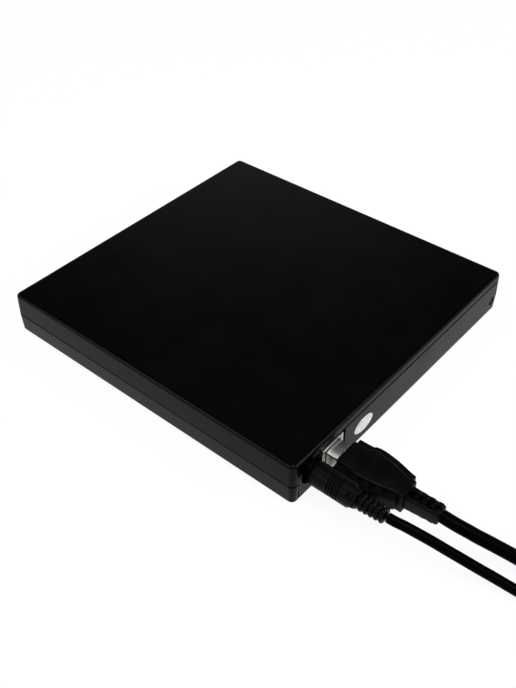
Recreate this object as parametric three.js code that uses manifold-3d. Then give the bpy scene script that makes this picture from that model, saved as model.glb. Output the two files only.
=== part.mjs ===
// An external disc drive: a slim tray-loading drive in a two-part shell, with its bridge board,
// its plugged-in data and power cables, and the whole tray mechanism inside.
// Millimetres, +Z up. The origin is on the table under the middle of the case.
// The tray opens towards -Y and the cables leave towards +Y.

import * as THREE from 'three';
import { mergeVertices } from 'three/addons/utils/BufferGeometryUtils.js';
import Module from 'manifold-3d';

const wasm = await Module();
wasm.setup();

// Disc, the size that the widths and depths follow
const discRadius = 60;
const discMargin = 0.6;
const smallDiscRadius = 40;

// Case shells
const caseSideRoom = 6;
const caseRearRoom = 17;
const shellHeight = 18.5;
const shellWall = 2;
const roofThickness = 2;
const floorThickness = 2;
const cornerRadius = 2.4;
const topRounding = 1.5;
const bottomRounding = 0.8;
const wallDraft = 0.3;
const seamHeight = 8.5;
const seamGap = 0.3;
const seamChamfer = 0.25;

// Clearances
const restGap = 0.3;
const runningGap = 0.15;
const solderGap = 0.1;
const overrun = 1;

// Feet
const footStand = 0.7;
const footRadius = 5;
const footPocket = 0.5;
const footInsetX = 15;
const footInsetY = 13;
const footChamfer = 0.3;

// Rear panel and what is on it
const panelThickness = 2;
const panelEndInset = 3.2;
const panelLip = 3.7;
const panelSill = 1.5;
const panelStep = 1;
const tongueThickness = 1;
const panelScrewInset = 5.6;
const panelScrewHeight = 6.3;
const labelWidth = 11.3;
const labelHeight = 6.8;
const labelThickness = 0.2;
const labelInset = 41;
const labelRise = 7.5;

// Screws
const screwRadius = 0.8;
const screwHeadRadius = 1.6;
const screwHeadHeight = 1;
const bossWall = 0.7;
const frontScrewInset = 15;
const rearScrewInset = 24;

// Bridge board and its sockets
const boardThickness = 1;
const boardPost = 0.4;
const boardEndInset = 8;
const usbInset = 21.8;
const usbSocketWidth = 12;
const usbSocketHeight = 10.6;
const usbSocketDepth = 15.8;
const usbSocketProud = 0.2;
const usbOpeningGap = 0.5;
const usbTongueSetBack = 1.8;
const usbSheet = 0.4;
const usbOpeningBevel = 2;
const usbTongueWidth = 5.4;
const usbTongueHeight = 2.8;
const dcInset = 9.8;
const dcJackWidth = 9;
const dcJackHeight = 11;
const dcJackDepth = 12.8;
const dcJackRecess = 2.4;
const dcAxisAboveBoard = 6.8;
const dcBoreRadius = 3.2;
const dcPinRadius = 1;
const dcBoreDepth = 10;
const dcOpeningRadius = 5.5;
const portLeftInset = 29.2;
const portSill = 3;
const chipSize = 8;
const chipHeight = 1.2;
const capacitorRadius = 2.2;
const capacitorHeight = 5.4;
const connectorWidth = 40;
const connectorDepth = 4.6;
const connectorHeight = 4;
const capacitorSpacing = 6.6;
const boardGap = 1;

// Slim drive
const driveHeight = 12.7;
const driveStand = 2.8;
const driveFrontInset = 2.8;
const driveTail = 2.6;
const panSheet = 0.6;
const lidSheet = 0.5;
const railWidth = 2.6;
const railHeight = 2.4;
const railFlange = 0.8;
const railBack = 0.4;
const railRise = 4.5;
const railStop = 2;

// Tray
const traySideMargin = 1.25;
const trayRearMargin = 0.8;
const trayTopDrop = 2.7;
const traySkirt = 3;
const trayUnderGap = 0.9;
const deckThickness = 1.9;
const discRecess = 2.1;
const smallRecess = 0.8;
const discFrontMargin = 1.6;
const bezelThickness = 2.2;
const bezelGap = 0.4;
const bezelInset = 0.4;
const bezelChamfer = 0.4;
const bottomSheet = 0.4;
const bottomSheetRearInset = 10.7;

// Eject button and lamp on the bezel
const buttonWidth = 8.6;
const buttonHeight = 2.6;
const buttonInset = 26;
const buttonRise = 1;
const pocketWall = 2;
const buttonFlange = 0.9;
const buttonTravel = 0.8;
const lampWidth = 3;
const lampHeight = 1.4;
const lampInset = 14;
const lampTail = 1;
const pinholeRadius = 0.65;
const pinholeInset = 38;
const springWire = 0.3;
const springRadius = 1;
const springCurls = 5;

// Disc mechanism, along u from the spindle to the front corner and v across it
const mechanismAngle = -0.75 * Math.PI;
const frameWall = 1.2;
const framePlate = 1.5;
const frameTopDrop = 0.6;
const frameFoot = 0.5;
const frameTail = 17;
const frameMargin = 1;
const frameNose = 13;
const rodSpacing = 35;
const rodRadius = 1;
const rodRise = 1.6;
const bearingWall = 0.45;
const screwSpacing = 24;
const leadRadius = 1;
const sledMotorRadius = 2.1;
const sledMotorLength = 13;
const pickupNear = 22;
const pickupRim = 2;
const sledHalfLength = 8;
const sledHalfWidth = 14;
const sledNoseWidth = 9;
const nutOffset = 10;
const nutHalf = 2;
const spindleRadius = 11;
const turntableRadius = 14.5;
const turntableThickness = 0.8;
const hubRadius = 7.3;
const hubRise = 2.8;
const hubBevel = 1;
const discSeatRise = 1.1;
const shaftRadius = 0.8;
const lensRadius = 2.1;
const lensRise = 0.4;
const lensFocus = 0.4;
const damperRadius = 2.8;
const damperPinRadius = 0.9;

// Tray latch
const latchSideInset = 19.25;
const latchRearRoom = 3.2;
const latchLength = 22.2;
const latchArm = 1.8;
const latchThickness = 1.2;
const latchTooth = 4.2;
const latchRelease = 7;
const lockPostRadius = 1;
const solenoidLength = 10;
const solenoidWidth = 8;
const solenoidHeight = 3.4;

// Data cable
const usbShellWidth = 8;
const usbShellHeight = 7.25;
const usbShellLength = 11.8;
const usbShellShown = 5.5;
const usbPlugWidth = 13.6;
const usbPlugHeight = 10.5;
const usbPlugLength = 38.4;
const plugCorner = 1;
const reliefWall = 0.7;
const reliefEndWall = 0.3;
const reliefRise = 0.3;
const reliefEndRise = 1;
const usbCordDiameter = 4.8;
const usbCoilRadius = 26.5;
const usbCoilTurns = 4.375;
const usbCoilAcross = 35.2;
const usbCoilBehind = 103;
const usbTailLength = 26;

// Power cable
const dcPlugRadius = 4.6;
const dcPlugLength = 33.1;
const dcBarrelRadius = 2.75;
const dcBarrelBore = 1.25;
const dcBarrelLength = 9.5;
const dcCordDiameter = 3.7;
const dcRibs = 5;
const ribOuterShare = 0.72;
const ribTaperShare = 0.022;
const ribDepthShare = 0.2;
const dcCoilRadius = 19.4;
const dcCoilTurns = 4.0833;
const dcCoilAcross = 15.1;
const dcCoilBehind = 122;
const dcTailLength = 22;

// Far-end plugs
const farPlugWidth = 15.4;
const farPlugHeight = 7.8;
const farPlugLength = 24;
const farReliefLength = 8;
const farShellWidth = 12;
const farShellHeight = 4.5;
const farShellLength = 12;
const farShellSheet = 0.4;
const farNeckWidthShare = 0.8;
const farNeckHeightShare = 0.9;
const coilGap = 0.6;

// Facets
const cornerSteps = 4;
const roundSides = 20;
const smallSides = 12;
const discSides = 64;
const coilSteps = 24;
const loopSides = 6;
const tailSteps = 6;
const cordSides = 8;
const cordStepShare = 2;

// Levels and places that follow from the sizes above
const recessRadius = discRadius + discMargin;
const trayX = discRadius + traySideMargin;
const driveX = trayX + panSheet + railBack + railWidth / 2 + runningGap + restGap;
const trayLength = discFrontMargin + 2 * recessRadius + trayRearMargin;
const driveLength = trayLength + driveTail;
const halfWidth = driveX + caseSideRoom;
const halfDepth = (driveFrontInset + driveLength + caseRearRoom) / 2;
const shellBottom = footStand;
const shellTop = footStand + shellHeight;
const floorTop = footStand + floorThickness;
const roofUnder = shellTop - roofThickness;
const seamLevel = footStand + seamHeight;
const pocketX = halfWidth - shellWall;
const pocketFront = -halfDepth + shellWall;
const pocketRear = halfDepth - panelThickness;
const driveBottom = footStand + driveStand;
const driveTop = driveBottom + driveHeight;
const driveFront = -halfDepth + driveFrontInset;
const driveRear = driveFront + driveLength;
const panTop = driveBottom + panSheet;
const lidUnder = driveTop - lidSheet;
const openingX = driveX + bezelGap;
const boardBottom = floorTop + boardPost + solderGap;
const boardTop = boardBottom + boardThickness;
const boardFront = driveRear + boardGap;
const boardRear = pocketRear - tongueThickness - 2 * restGap;
const usbX = halfWidth - usbInset;
const usbFace = halfDepth + usbSocketProud;
const usbBottom = boardTop + solderGap;
const usbZ = usbBottom + usbSocketHeight / 2;
const dcX = halfWidth - dcInset;
const dcZ = boardTop + dcAxisAboveBoard;
const dcFace = halfDepth - dcJackRecess;
const trayFront = driveFront;
const trayRear = trayFront + trayLength;
const trayTop = lidUnder - trayTopDrop;
const trayBottom = panTop + trayUnderGap;
const discFloor = trayTop - discRecess;
const deckUnder = discFloor - deckThickness;
const discY = trayFront + discFrontMargin + recessRadius;
const railZ = driveBottom + panSheet + railRise;
const mechTop = discFloor - frameTopDrop;
const mechBottom = trayBottom + frameFoot;
const rodZ = mechBottom + rodRise;
const discSeat = discFloor + discSeatRise;
const rodV = rodSpacing / 2;
const latchZ = mechBottom;
const latchPivotX = trayX - latchSideInset;
const latchPivotY = trayRear - latchRearRoom - latchLength;
const frameReach = Math.SQRT2 * (trayX - traySkirt - frameMargin) - frameNose;
const pickupTravel = discRadius - pickupRim - pickupNear;

const drive = new THREE.Group();

// Materials, each a real surface of the object
function finish(colour, roughness, metalness = 0) {
  return new THREE.MeshStandardMaterial({ color: colour, roughness, metalness });
}

const shellPlastic = finish(0x26292b, 0.5);
const panelPlastic = finish(0x55585a, 0.55);
const blackPlastic = finish(0x17181a, 0.45);
const softPlastic = finish(0x121314, 0.6);
const rubber = finish(0x1b1b1b, 0.9);
const plated = finish(0xc9c9c4, 0.3, 1);
const steel = finish(0x9a9c9e, 0.35, 1);
const darkSteel = finish(0x303234, 0.4, 1);
const boardGreen = finish(0x1f4a34, 0.5);
const chipBlack = finish(0x1c1c1e, 0.5);
const trayGrey = finish(0x3c3e40, 0.55);
const lampClear = finish(0xa8c8a8, 0.2);
const cordBlack = finish(0x101011, 0.5);

// Geometry helpers

function toSolid(geometry) {
  const bare = geometry.clone();
  bare.deleteAttribute('normal');
  bare.deleteAttribute('uv');
  const merged = mergeVertices(bare);
  return new wasm.Manifold(new wasm.Mesh({
    numProp: 3,
    vertProperties: new Float32Array(merged.attributes.position.array),
    triVerts: new Uint32Array(merged.index.array),
  }));
}

function toGeometry(solid) {
  const found = solid.getMesh();
  const geometry = new THREE.BufferGeometry();
  geometry.setAttribute('position', new THREE.BufferAttribute(new Float32Array(found.vertProperties), 3));
  geometry.setIndex(new THREE.BufferAttribute(new Uint32Array(found.triVerts), 1));
  return geometry;
}

function joined(...parts) {
  return toGeometry(parts.map(toSolid).reduce((all, part) => all.add(part)));
}

function cut(base, ...tools) {
  return toGeometry(tools.map(toSolid).reduce((left, tool) => left.subtract(tool), toSolid(base)));
}

function kept(base, tool) {
  return toGeometry(toSolid(base).intersect(toSolid(tool)));
}

// The same solid on the other side of the middle plane
function mirrored(geometry) {
  return toGeometry(toSolid(geometry).mirror([1, 0, 0]));
}

// A block from its low to its high corner
function block(x0, x1, y0, y1, z0, z1) {
  const geometry = new THREE.BoxGeometry(x1 - x0, y1 - y0, z1 - z0);
  return geometry.translate((x0 + x1) / 2, (y0 + y1) / 2, (z0 + z1) / 2);
}

// A round bar between two levels of one axis, centred at a and b on the two others
function bar(axis, radius, a, b, low, high, sides = smallSides) {
  const geometry = new THREE.CylinderGeometry(radius, radius, high - low, sides);
  const middle = (low + high) / 2;
  if (axis === 'x') {
    return geometry.rotateZ(-Math.PI / 2).translate(middle, a, b);
  }
  if (axis === 'y') {
    return geometry.translate(a, middle, b);
  }
  return geometry.rotateX(Math.PI / 2).translate(a, b, middle);
}

// A turned solid about Z from its profile of [radius, level] points
function turned(profile, sides = roundSides) {
  const points = profile.map(([radius, level]) => new THREE.Vector2(radius, level));
  return new THREE.LatheGeometry(points, sides).rotateX(Math.PI / 2);
}

// A flat outline of [x, y] points made solid between two levels
function slab(outline, low, high) {
  const shape = new THREE.Shape(outline.map(([x, y]) => new THREE.Vector2(x, y)));
  return new THREE.ExtrudeGeometry(shape, { depth: high - low, bevelEnabled: false }).translate(0, 0, low);
}

// A solid through closed rings of equally many points, each ring anticlockwise about the way it goes
function loft(rings) {
  const sides = rings[0].length;
  const positions = rings.flat().flatMap((point) => point.toArray());
  const middles = [rings[0], rings[rings.length - 1]].map((ring) => ring
    .reduce((sum, point) => sum.add(point), new THREE.Vector3()).divideScalar(sides));
  middles.forEach((point) => positions.push(...point.toArray()));
  const first = rings.length * sides;
  const triangles = [];
  for (let side = 0; side < sides; side += 1) {
    const next = (side + 1) % sides;
    for (let ring = 0; ring + 1 < rings.length; ring += 1) {
      const low = ring * sides;
      const high = low + sides;
      triangles.push(low + side, low + next, high + next, low + side, high + next, high + side);
    }
    const top = (rings.length - 1) * sides;
    triangles.push(first, next, side, first + 1, top + side, top + next);
  }
  const geometry = new THREE.BufferGeometry();
  geometry.setAttribute('position', new THREE.Float32BufferAttribute(positions, 3));
  geometry.setIndex(triangles);
  return geometry;
}

// A rectangle with round corners at one level
function roundedRing(halfX, halfY, radius, level, steps = cornerSteps) {
  const ring = [];
  [[1, 1], [-1, 1], [-1, -1], [1, -1]].forEach(([signX, signY], quarter) => {
    for (let step = 0; step <= steps; step += 1) {
      const angle = (quarter + step / steps) * Math.PI / 2;
      ring.push(new THREE.Vector3(
        signX * (halfX - radius) + radius * Math.cos(angle),
        signY * (halfY - radius) + radius * Math.sin(angle),
        level,
      ));
    }
  });
  return ring;
}

// The outline of a convex polygon moved inwards by a distance, or outwards by a negative one
function insetOutline(outline, distance) {
  const lines = outline.map(([x, y], index) => {
    const [nextX, nextY] = outline[(index + 1) % outline.length];
    const length = Math.hypot(nextX - x, nextY - y);
    const along = [(nextX - x) / length, (nextY - y) / length];
    return { at: [x - along[1] * distance, y + along[0] * distance], along };
  });
  return lines.map((line, index) => {
    const before = lines[(index + lines.length - 1) % lines.length];
    const cross = before.along[0] * line.along[1] - before.along[1] * line.along[0];
    const gap = [line.at[0] - before.at[0], line.at[1] - before.at[1]];
    const reach = (gap[0] * line.along[1] - gap[1] * line.along[0]) / cross;
    return [before.at[0] + before.along[0] * reach, before.at[1] + before.along[1] * reach];
  });
}

function addPiece(name, geometry, material, parent = drive) {
  const mesh = new THREE.Mesh(geometry, material);
  mesh.name = name;
  parent.add(mesh);
  return mesh;
}

// Case shells: rounded boxes with a little draft to the top and to the bottom from the seam

function caseRing(inset, level) {
  return roundedRing(halfWidth - inset, halfDepth - inset, cornerRadius - inset, level);
}

function roundedEdge(radius, edge, towards) {
  const rings = [];
  for (let step = 0; step <= cornerSteps; step += 1) {
    const angle = (step / cornerSteps) * Math.PI / 2;
    const inset = wallDraft + radius * (1 - Math.cos(angle));
    rings.push(caseRing(inset, edge - towards * radius * (1 - Math.sin(angle))));
  }
  return rings;
}

function pocket(low, high) {
  const half = (pocketRear - pocketFront) / 2;
  const middle = (pocketRear + pocketFront) / 2;
  const radius = Math.max(cornerRadius - shellWall, restGap);
  return loft([low, high].map((level) => roundedRing(pocketX, half, radius, level)
    .map((point) => point.setY(point.y + middle))));
}

const caseScrewX = pocketX - screwHeadRadius - restGap;
const caseScrewSpots = [-1, 1].flatMap((side) => [
  [side * caseScrewX, -halfDepth + frontScrewInset],
  [side * caseScrewX, halfDepth - rearScrewInset],
]);
const screwHoleRadius = screwRadius + restGap;
const bossRadius = screwHoleRadius + bossWall;
const seamTop = seamLevel + seamGap / 2;
const seamBottom = seamLevel - seamGap / 2;
const panelX = halfWidth - panelEndInset;
const panelGap = runningGap;
const lipLevel = shellTop - panelLip;
const sillLevel = shellBottom + panelSill;

function topCover() {
  const outer = loft([
    caseRing(seamChamfer, seamTop),
    caseRing(0, seamTop + seamChamfer),
    ...roundedEdge(topRounding, shellTop, 1),
  ]);
  const hollow = cut(
    outer,
    pocket(seamTop - overrun, roofUnder),
    block(-openingX, openingX, -halfDepth - overrun, pocketFront + overrun, seamTop - overrun,
      driveTop + bezelGap),
    block(-panelX - panelGap, panelX + panelGap, pocketRear - overrun, halfDepth + overrun,
      seamTop - overrun, lipLevel + panelGap),
  );
  const bosses = caseScrewSpots.map(([x, y]) => bar('z', bossRadius, x, y, seamTop + restGap,
    roofUnder + restGap));
  const ribX = driveX / 2;
  const ribs = [-1, 1].map((side) => block(side * ribX - bossWall, side * ribX + bossWall,
    driveFront + footInsetY, driveRear - footInsetY, driveTop + restGap, roofUnder + restGap));
  const holes = caseScrewSpots.map(([x, y]) => bar('z', screwHoleRadius, x, y, seamTop - overrun,
    screwTop + restGap));
  return cut(joined(hollow, ...bosses, ...ribs), ...holes);
}

// The case screws stop short of the roof
const screwBottom = shellBottom + restGap;
const screwTop = roofUnder - restGap - roofThickness;

function footSpots() {
  return [['front_left', -1, -1], ['front_right', 1, -1], ['rear_left', -1, 1], ['rear_right', 1, 1]]
    .map(([place, signX, signY]) => ({
      place,
      x: signX * (halfWidth - footInsetX),
      y: signY * (halfDepth - footInsetY),
    }));
}

const boardScrewSpots = [-1, 1].map((side) => [
  side > 0 ? usbX - usbSocketWidth : -halfWidth + 2 * boardEndInset,
  (boardFront + boardRear) / 2,
]);
const panelScrewX = -halfWidth + panelScrewInset;
const panelScrewZ = shellBottom + panelScrewHeight;
const panelBossHalf = bossRadius;
const panelBossFront = boardRear - 3 * bossRadius / 2;

function bottomCover() {
  const outer = loft([
    ...roundedEdge(bottomRounding, shellBottom, -1).reverse(),
    caseRing(0, seamBottom - seamChamfer),
    caseRing(seamChamfer, seamBottom),
  ]);
  const hollow = cut(
    outer,
    pocket(floorTop, seamBottom + overrun),
    block(-openingX, openingX, -halfDepth - overrun, pocketFront + overrun, driveBottom - bezelGap,
      seamBottom + overrun),
    block(-panelX - panelGap, panelX + panelGap, pocketRear - runningGap, halfDepth + overrun,
      sillLevel, seamBottom + overrun),
  );
  const bosses = caseScrewSpots.map(([x, y]) => bar('z', bossRadius, x, y, floorTop - restGap, seamBottom));
  const restX = driveX - footInsetX;
  const rests = [-1, 1].map((side) => block(side * restX - bossWall, side * restX + bossWall,
    driveFront + footInsetY, driveRear - footInsetY, floorTop - restGap, driveBottom - restGap));
  const driveMiddle = (driveFront + driveRear) / 2;
  const ribSpots = [-1 / 4, 0, 1 / 4].map((ribShare) => ribShare * driveLength + driveMiddle);
  const ribs = [-1, 1].flatMap((side) => ribSpots.map((y) => block(
    Math.min(side * (driveX + restGap), side * (pocketX + restGap)),
    Math.max(side * (driveX + restGap), side * (pocketX + restGap)),
    y - bossWall, y + bossWall, floorTop - restGap, seamBottom,
  )));
  const posts = boardScrewSpots.map(([x, y]) => bar('z', bossRadius, x, y, floorTop - restGap,
    boardBottom - solderGap));
  const panelBoss = block(panelScrewX - panelBossHalf, panelScrewX + panelBossHalf,
    panelBossFront, boardRear, floorTop - restGap, panelScrewZ + bossRadius);
  const holes = caseScrewSpots.flatMap(([x, y]) => [
    bar('z', screwHoleRadius, x, y, shellBottom - overrun, seamBottom + overrun),
    bar('z', screwHeadRadius + restGap, x, y, shellBottom - overrun, screwBottom + screwHeadHeight + restGap,
      roundSides),
  ]);
  const postHoles = boardScrewSpots.map(([x, y]) => bar('z', screwHoleRadius, x, y,
    floorTop - restGap - boardPost, boardTop));
  const pockets = footSpots().map(({ x, y }) => bar('z', footRadius + restGap, x, y, shellBottom - overrun,
    shellBottom + footPocket, roundSides));
  const panelHole = bar('y', screwHoleRadius, panelScrewX, panelScrewZ, panelBossFront - overrun,
    boardRear + overrun);
  return cut(joined(hollow, ...bosses, ...rests, ...ribs, ...posts, panelBoss), ...holes, ...postHoles,
    ...pockets, panelHole);
}

addPiece('top_cover', topCover(), shellPlastic);
addPiece('bottom_cover', bottomCover(), shellPlastic);

// Rubber feet in shallow pockets of the floor
footSpots().forEach(({ place, x, y }) => {
  const top = shellBottom + footPocket - restGap;
  const foot = turned([[0, 0], [footRadius - footChamfer, 0], [footRadius, footChamfer], [footRadius, top],
    [0, top]]);
  addPiece(`rubber_foot_${place}`, foot, rubber).position.set(x, y, 0);
});

// A machine screw about Z, its head down and its shank up
function screwUp(x, y, headLevel, tip) {
  const neck = headLevel + screwHeadHeight;
  const screw = turned([[0, headLevel], [screwHeadRadius, headLevel], [screwHeadRadius, neck],
    [screwRadius, neck], [screwRadius, tip], [0, tip]], smallSides);
  const slot = block(-screwRadius, screwRadius, -screwRadius / 4, screwRadius / 4, headLevel - overrun,
    headLevel + screwHeadHeight / 3);
  return cut(screw, slot).translate(x, y, 0);
}

const caseScrewNames = ['front_left', 'rear_left', 'front_right', 'rear_right'];
caseScrewSpots.forEach(([x, y], index) => {
  addPiece(`case_screw_${caseScrewNames[index]}`, screwUp(x, y, screwBottom, screwTop), darkSteel);
});

// Rear panel: a plate between the shells with a tongue behind it, cut out for both sockets
const portEnd = usbX - (portLeftInset - usbInset);
const dcOpeningRight = dcX + dcOpeningRadius;

function portOpening(front, rear) {
  const sill = shellBottom + portSill;
  return joined(
    block(portEnd, dcX - dcOpeningRadius, front, rear, sill, shellTop),
    block(dcX - dcOpeningRadius - overrun, dcOpeningRight, front, rear, dcZ, shellTop),
    bar('y', dcOpeningRadius, dcX, dcZ, front, rear, roundSides),
  );
}

function ellipseBar(width, height, x, z, front, rear) {
  const geometry = new THREE.CylinderGeometry(1, 1, rear - front, roundSides);
  return geometry.scale(width / 2, 1, height / 2).translate(x, (front + rear) / 2, z);
}

const labelX = halfWidth - labelInset;
const labelZ = shellBottom + labelRise;

function rearPanel() {
  const plate = block(-panelX, panelX, pocketRear, halfDepth, sillLevel + panelGap, lipLevel);
  const tongueX = pocketX - cornerRadius / 3;
  const tongue = block(-tongueX, tongueX, pocketRear - restGap - tongueThickness, pocketRear - restGap,
    floorTop + restGap, roofUnder - restGap);
  const bridge = block(-panelX + panelStep, panelX - panelStep, pocketRear - 2 * restGap,
    pocketRear + restGap, floorTop + restGap, lipLevel - restGap);
  const socketRoom = block(portEnd - restGap, dcOpeningRight, pocketRear - 2 * overrun, pocketRear,
    boardBottom - restGap, shellTop);
  const screwHole = bar('y', screwHoleRadius, panelScrewX, panelScrewZ, boardRear, halfDepth + overrun);
  const headHole = bar('y', screwHeadRadius + restGap, panelScrewX, panelScrewZ,
    halfDepth - screwHeadHeight - restGap, halfDepth + overrun, roundSides);
  const labelPocket = ellipseBar(labelWidth + restGap, labelHeight + restGap, labelX, labelZ,
    halfDepth - labelThickness - solderGap, halfDepth + overrun);
  return cut(joined(plate, tongue, bridge), portOpening(pocketRear - 2 * overrun, halfDepth + overrun),
    socketRoom, screwHole, headHole, labelPocket);
}

addPiece('rear_panel', rearPanel(), panelPlastic);

const panelScrewHead = halfDepth - restGap;
const panelScrew = screwUp(0, 0, 0, panelScrewHead - panelBossFront - restGap).rotateX(Math.PI / 2);
addPiece('panel_screw', panelScrew.translate(panelScrewX, panelScrewHead, panelScrewZ), darkSteel);

// Bridge board with its chips, its sockets and the connector that the drive plugs into
const boardY = (boardFront + boardRear) / 2;
const connectorX = -connectorWidth / 2;
const chipShares = [0.38, 0.8];
const capacitorPlaces = [1, 2, 3];

function bridgeBoard() {
  const board = block(-halfWidth + boardEndInset, halfWidth - boardEndInset / 2, boardFront, boardRear,
    boardBottom, boardTop);
  const chips = chipShares.map((share) => block(-chipSize / 2, chipSize / 2, boardY - chipSize / 2,
    boardY + chipSize / 2, boardTop - solderGap, boardTop + chipHeight)
    .translate(THREE.MathUtils.lerp(boardScrewSpots[0][0], connectorX, share), 0, 0));
  const cans = capacitorPlaces.map((place) => bar('z', capacitorRadius,
    portEnd - usbSocketWidth - place * capacitorSpacing, boardY, boardTop - solderGap,
      boardTop + capacitorHeight,
    roundSides));
  const holes = boardScrewSpots.map(([x, y]) => bar('z', screwHoleRadius, x, y, boardBottom - overrun,
    boardTop + overrun));
  return cut(joined(board, ...chips, ...cans), ...holes);
}

addPiece('bridge_board', bridgeBoard(), boardGreen);

boardScrewSpots.forEach(([x, y], index) => {
  const head = boardTop + solderGap;
  const screw = turned([[0, floorTop], [screwRadius, floorTop], [screwRadius, head], [screwHeadRadius, head],
    [screwHeadRadius, head + screwHeadHeight], [0, head + screwHeadHeight]], smallSides).translate(x, y, 0);
  addPiece(`board_screw_${['left', 'right'][index]}`, screw, steel);
});

const partBottom = boardTop + solderGap;
const connectorY = driveRear + restGap;
const driveConnector = cut(
  block(connectorX, connectorX + connectorWidth, connectorY, connectorY + connectorDepth, partBottom,
    partBottom + connectorHeight),
  block(connectorX + connectorHeight / 2, connectorX + connectorWidth - connectorHeight / 2,
    connectorY - overrun,
    connectorY + connectorDepth / 2, partBottom + connectorHeight / 3, partBottom + connectorHeight * 2 / 3),
);
addPiece('drive_connector', driveConnector, blackPlastic);

// The square section of the data plug, its two lower corners cut off
function squareSection(width, height, bevel) {
  const x = width / 2;
  const z = height / 2;
  return [[-x + bevel, -z], [x - bevel, -z], [x, -z + bevel], [x, z], [-x, z], [-x, -z + bevel]];
}

// A section of [x, z] points made solid along Y
function barAlongY(outline, front, rear) {
  const flipped = outline.map(([x, z]) => [x, -z]).reverse();
  return slab(flipped, front, rear).rotateX(-Math.PI / 2);
}

function usbSection(grow, front, rear) {
  const section = squareSection(usbShellWidth + 2 * grow, usbShellHeight + 2 * grow, usbOpeningBevel);
  return barAlongY(section, front, rear).translate(usbX, 0, usbZ);
}

const usbRear = usbFace - usbSocketDepth;
const usbPlugFace = halfDepth + usbShellShown;
const usbShellTip = usbPlugFace - usbShellLength;

function usbSocketShell() {
  const outer = barAlongY(squareSection(usbSocketWidth, usbSocketHeight, usbSheet), usbRear, usbFace)
    .translate(usbX, 0, usbZ);
  return cut(outer, usbSection(usbOpeningGap, usbRear + usbSheet, usbFace + overrun));
}

const usbTongueTip = usbFace - usbTongueSetBack;
const usbTongueRoot = usbShellTip - 2 * restGap;
const usbTongueBase = usbSection(usbOpeningGap / 2, usbRear + usbSheet + solderGap, usbTongueRoot);
const usbTongue = block(usbX - usbTongueWidth / 2, usbX + usbTongueWidth / 2, usbTongueRoot - overrun,
  usbTongueTip, usbZ - usbTongueHeight / 2, usbZ + usbTongueHeight / 2);
addPiece('usb_socket_shell', usbSocketShell(), plated);
addPiece('usb_socket_tongue', joined(usbTongueBase, usbTongue), blackPlastic);

const dcRear = dcFace - dcJackDepth;
const dcPinRoot = dcFace - dcBoreDepth;
const dcJack = cut(
  block(dcX - dcJackWidth / 2, dcX + dcJackWidth / 2, dcRear, dcFace, partBottom, partBottom + dcJackHeight),
  bar('y', dcBoreRadius, dcX, dcZ, dcPinRoot, dcFace + overrun, roundSides),
  bar('y', dcPinRadius + solderGap, dcX, dcZ, dcPinRoot - dcPinRadius, dcPinRoot + overrun),
);
addPiece('dc_jack', dcJack, blackPlastic);
addPiece('dc_jack_pin', bar('y', dcPinRadius, dcX, dcZ, dcPinRoot - dcPinRadius + solderGap,
  dcFace - overrun), plated);

// Slim drive: a pressed pan, its lid, and the two channels that the tray's rails run in
const guideX = trayX + restGap;
const guideTop = railZ + railHeight / 2 + runningGap + railFlange;
const guideBottom = railZ - railHeight / 2 - runningGap - railFlange;
const panRim = lidUnder - solderGap;

function drivePan() {
  const body = block(-driveX, driveX, driveFront, driveRear, driveBottom, panRim);
  const inside = block(-driveX + panSheet, driveX - panSheet, driveFront - overrun, driveRear - panSheet,
    panTop, panRim + overrun);
  const plugSlot = block(connectorX, connectorX + connectorWidth, driveRear - panSheet - overrun,
    driveRear + overrun, partBottom, partBottom + connectorHeight);
  return cut(body, inside, plugSlot);
}

function driveLid() {
  const skirtX = driveX - panSheet - runningGap;
  const skirtBottom = trayTop + restGap;
  const sheet = block(-driveX, driveX, driveFront, driveRear, lidUnder, driveTop);
  const skirts = [-1, 1].map((side) => block(
    Math.min(side * skirtX, side * (skirtX - lidSheet)),
    Math.max(side * skirtX, side * (skirtX - lidSheet)),
    driveFront + restGap, driveRear - panSheet - restGap, skirtBottom, lidUnder + lidSheet / 2,
  ));
  return joined(sheet, ...skirts);
}

function railGuide() {
  const x0 = guideX;
  const x1 = driveX - panSheet - solderGap;
  return cut(
    block(x0, x1, driveFront + restGap, driveRear - panSheet - restGap, guideBottom, guideTop),
    block(x0 - overrun, x1 - railBack + solderGap, driveFront - overrun, driveRear - panSheet - railStop,
      railZ - railHeight / 2 - runningGap, railZ + railHeight / 2 + runningGap),
  );
}

addPiece('drive_pan', drivePan(), steel);
addPiece('drive_lid', driveLid(), steel);
addPiece('rail_guide_right', railGuide(), blackPlastic);
addPiece('rail_guide_left', mirrored(railGuide()), blackPlastic);

// Telescoping rails, half in the pan's channels and half in the tray's grooves
const railX = guideX - restGap / 2;
const railFront = trayFront + 2 * restGap;
const railRear = driveRear - panSheet - railStop - restGap;
const slideRail = block(railX - railWidth / 2, railX + railWidth / 2, railFront, railRear,
  railZ - railHeight / 2, railZ + railHeight / 2);
addPiece('slide_rail_right', slideRail, steel);
addPiece('slide_rail_left', mirrored(slideRail), steel);

// The disc mechanism lies in its own frame: u runs from the spindle to the front left corner, v across it
const mechanism = new THREE.Group();
mechanism.position.set(0, discY, 0);
mechanism.rotation.z = mechanismAngle;
drive.add(mechanism);

function fromMechanism([u, v]) {
  const cosine = Math.cos(mechanismAngle);
  const sine = Math.sin(mechanismAngle);
  return [u * cosine - v * sine, discY + u * sine + v * cosine];
}

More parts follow.
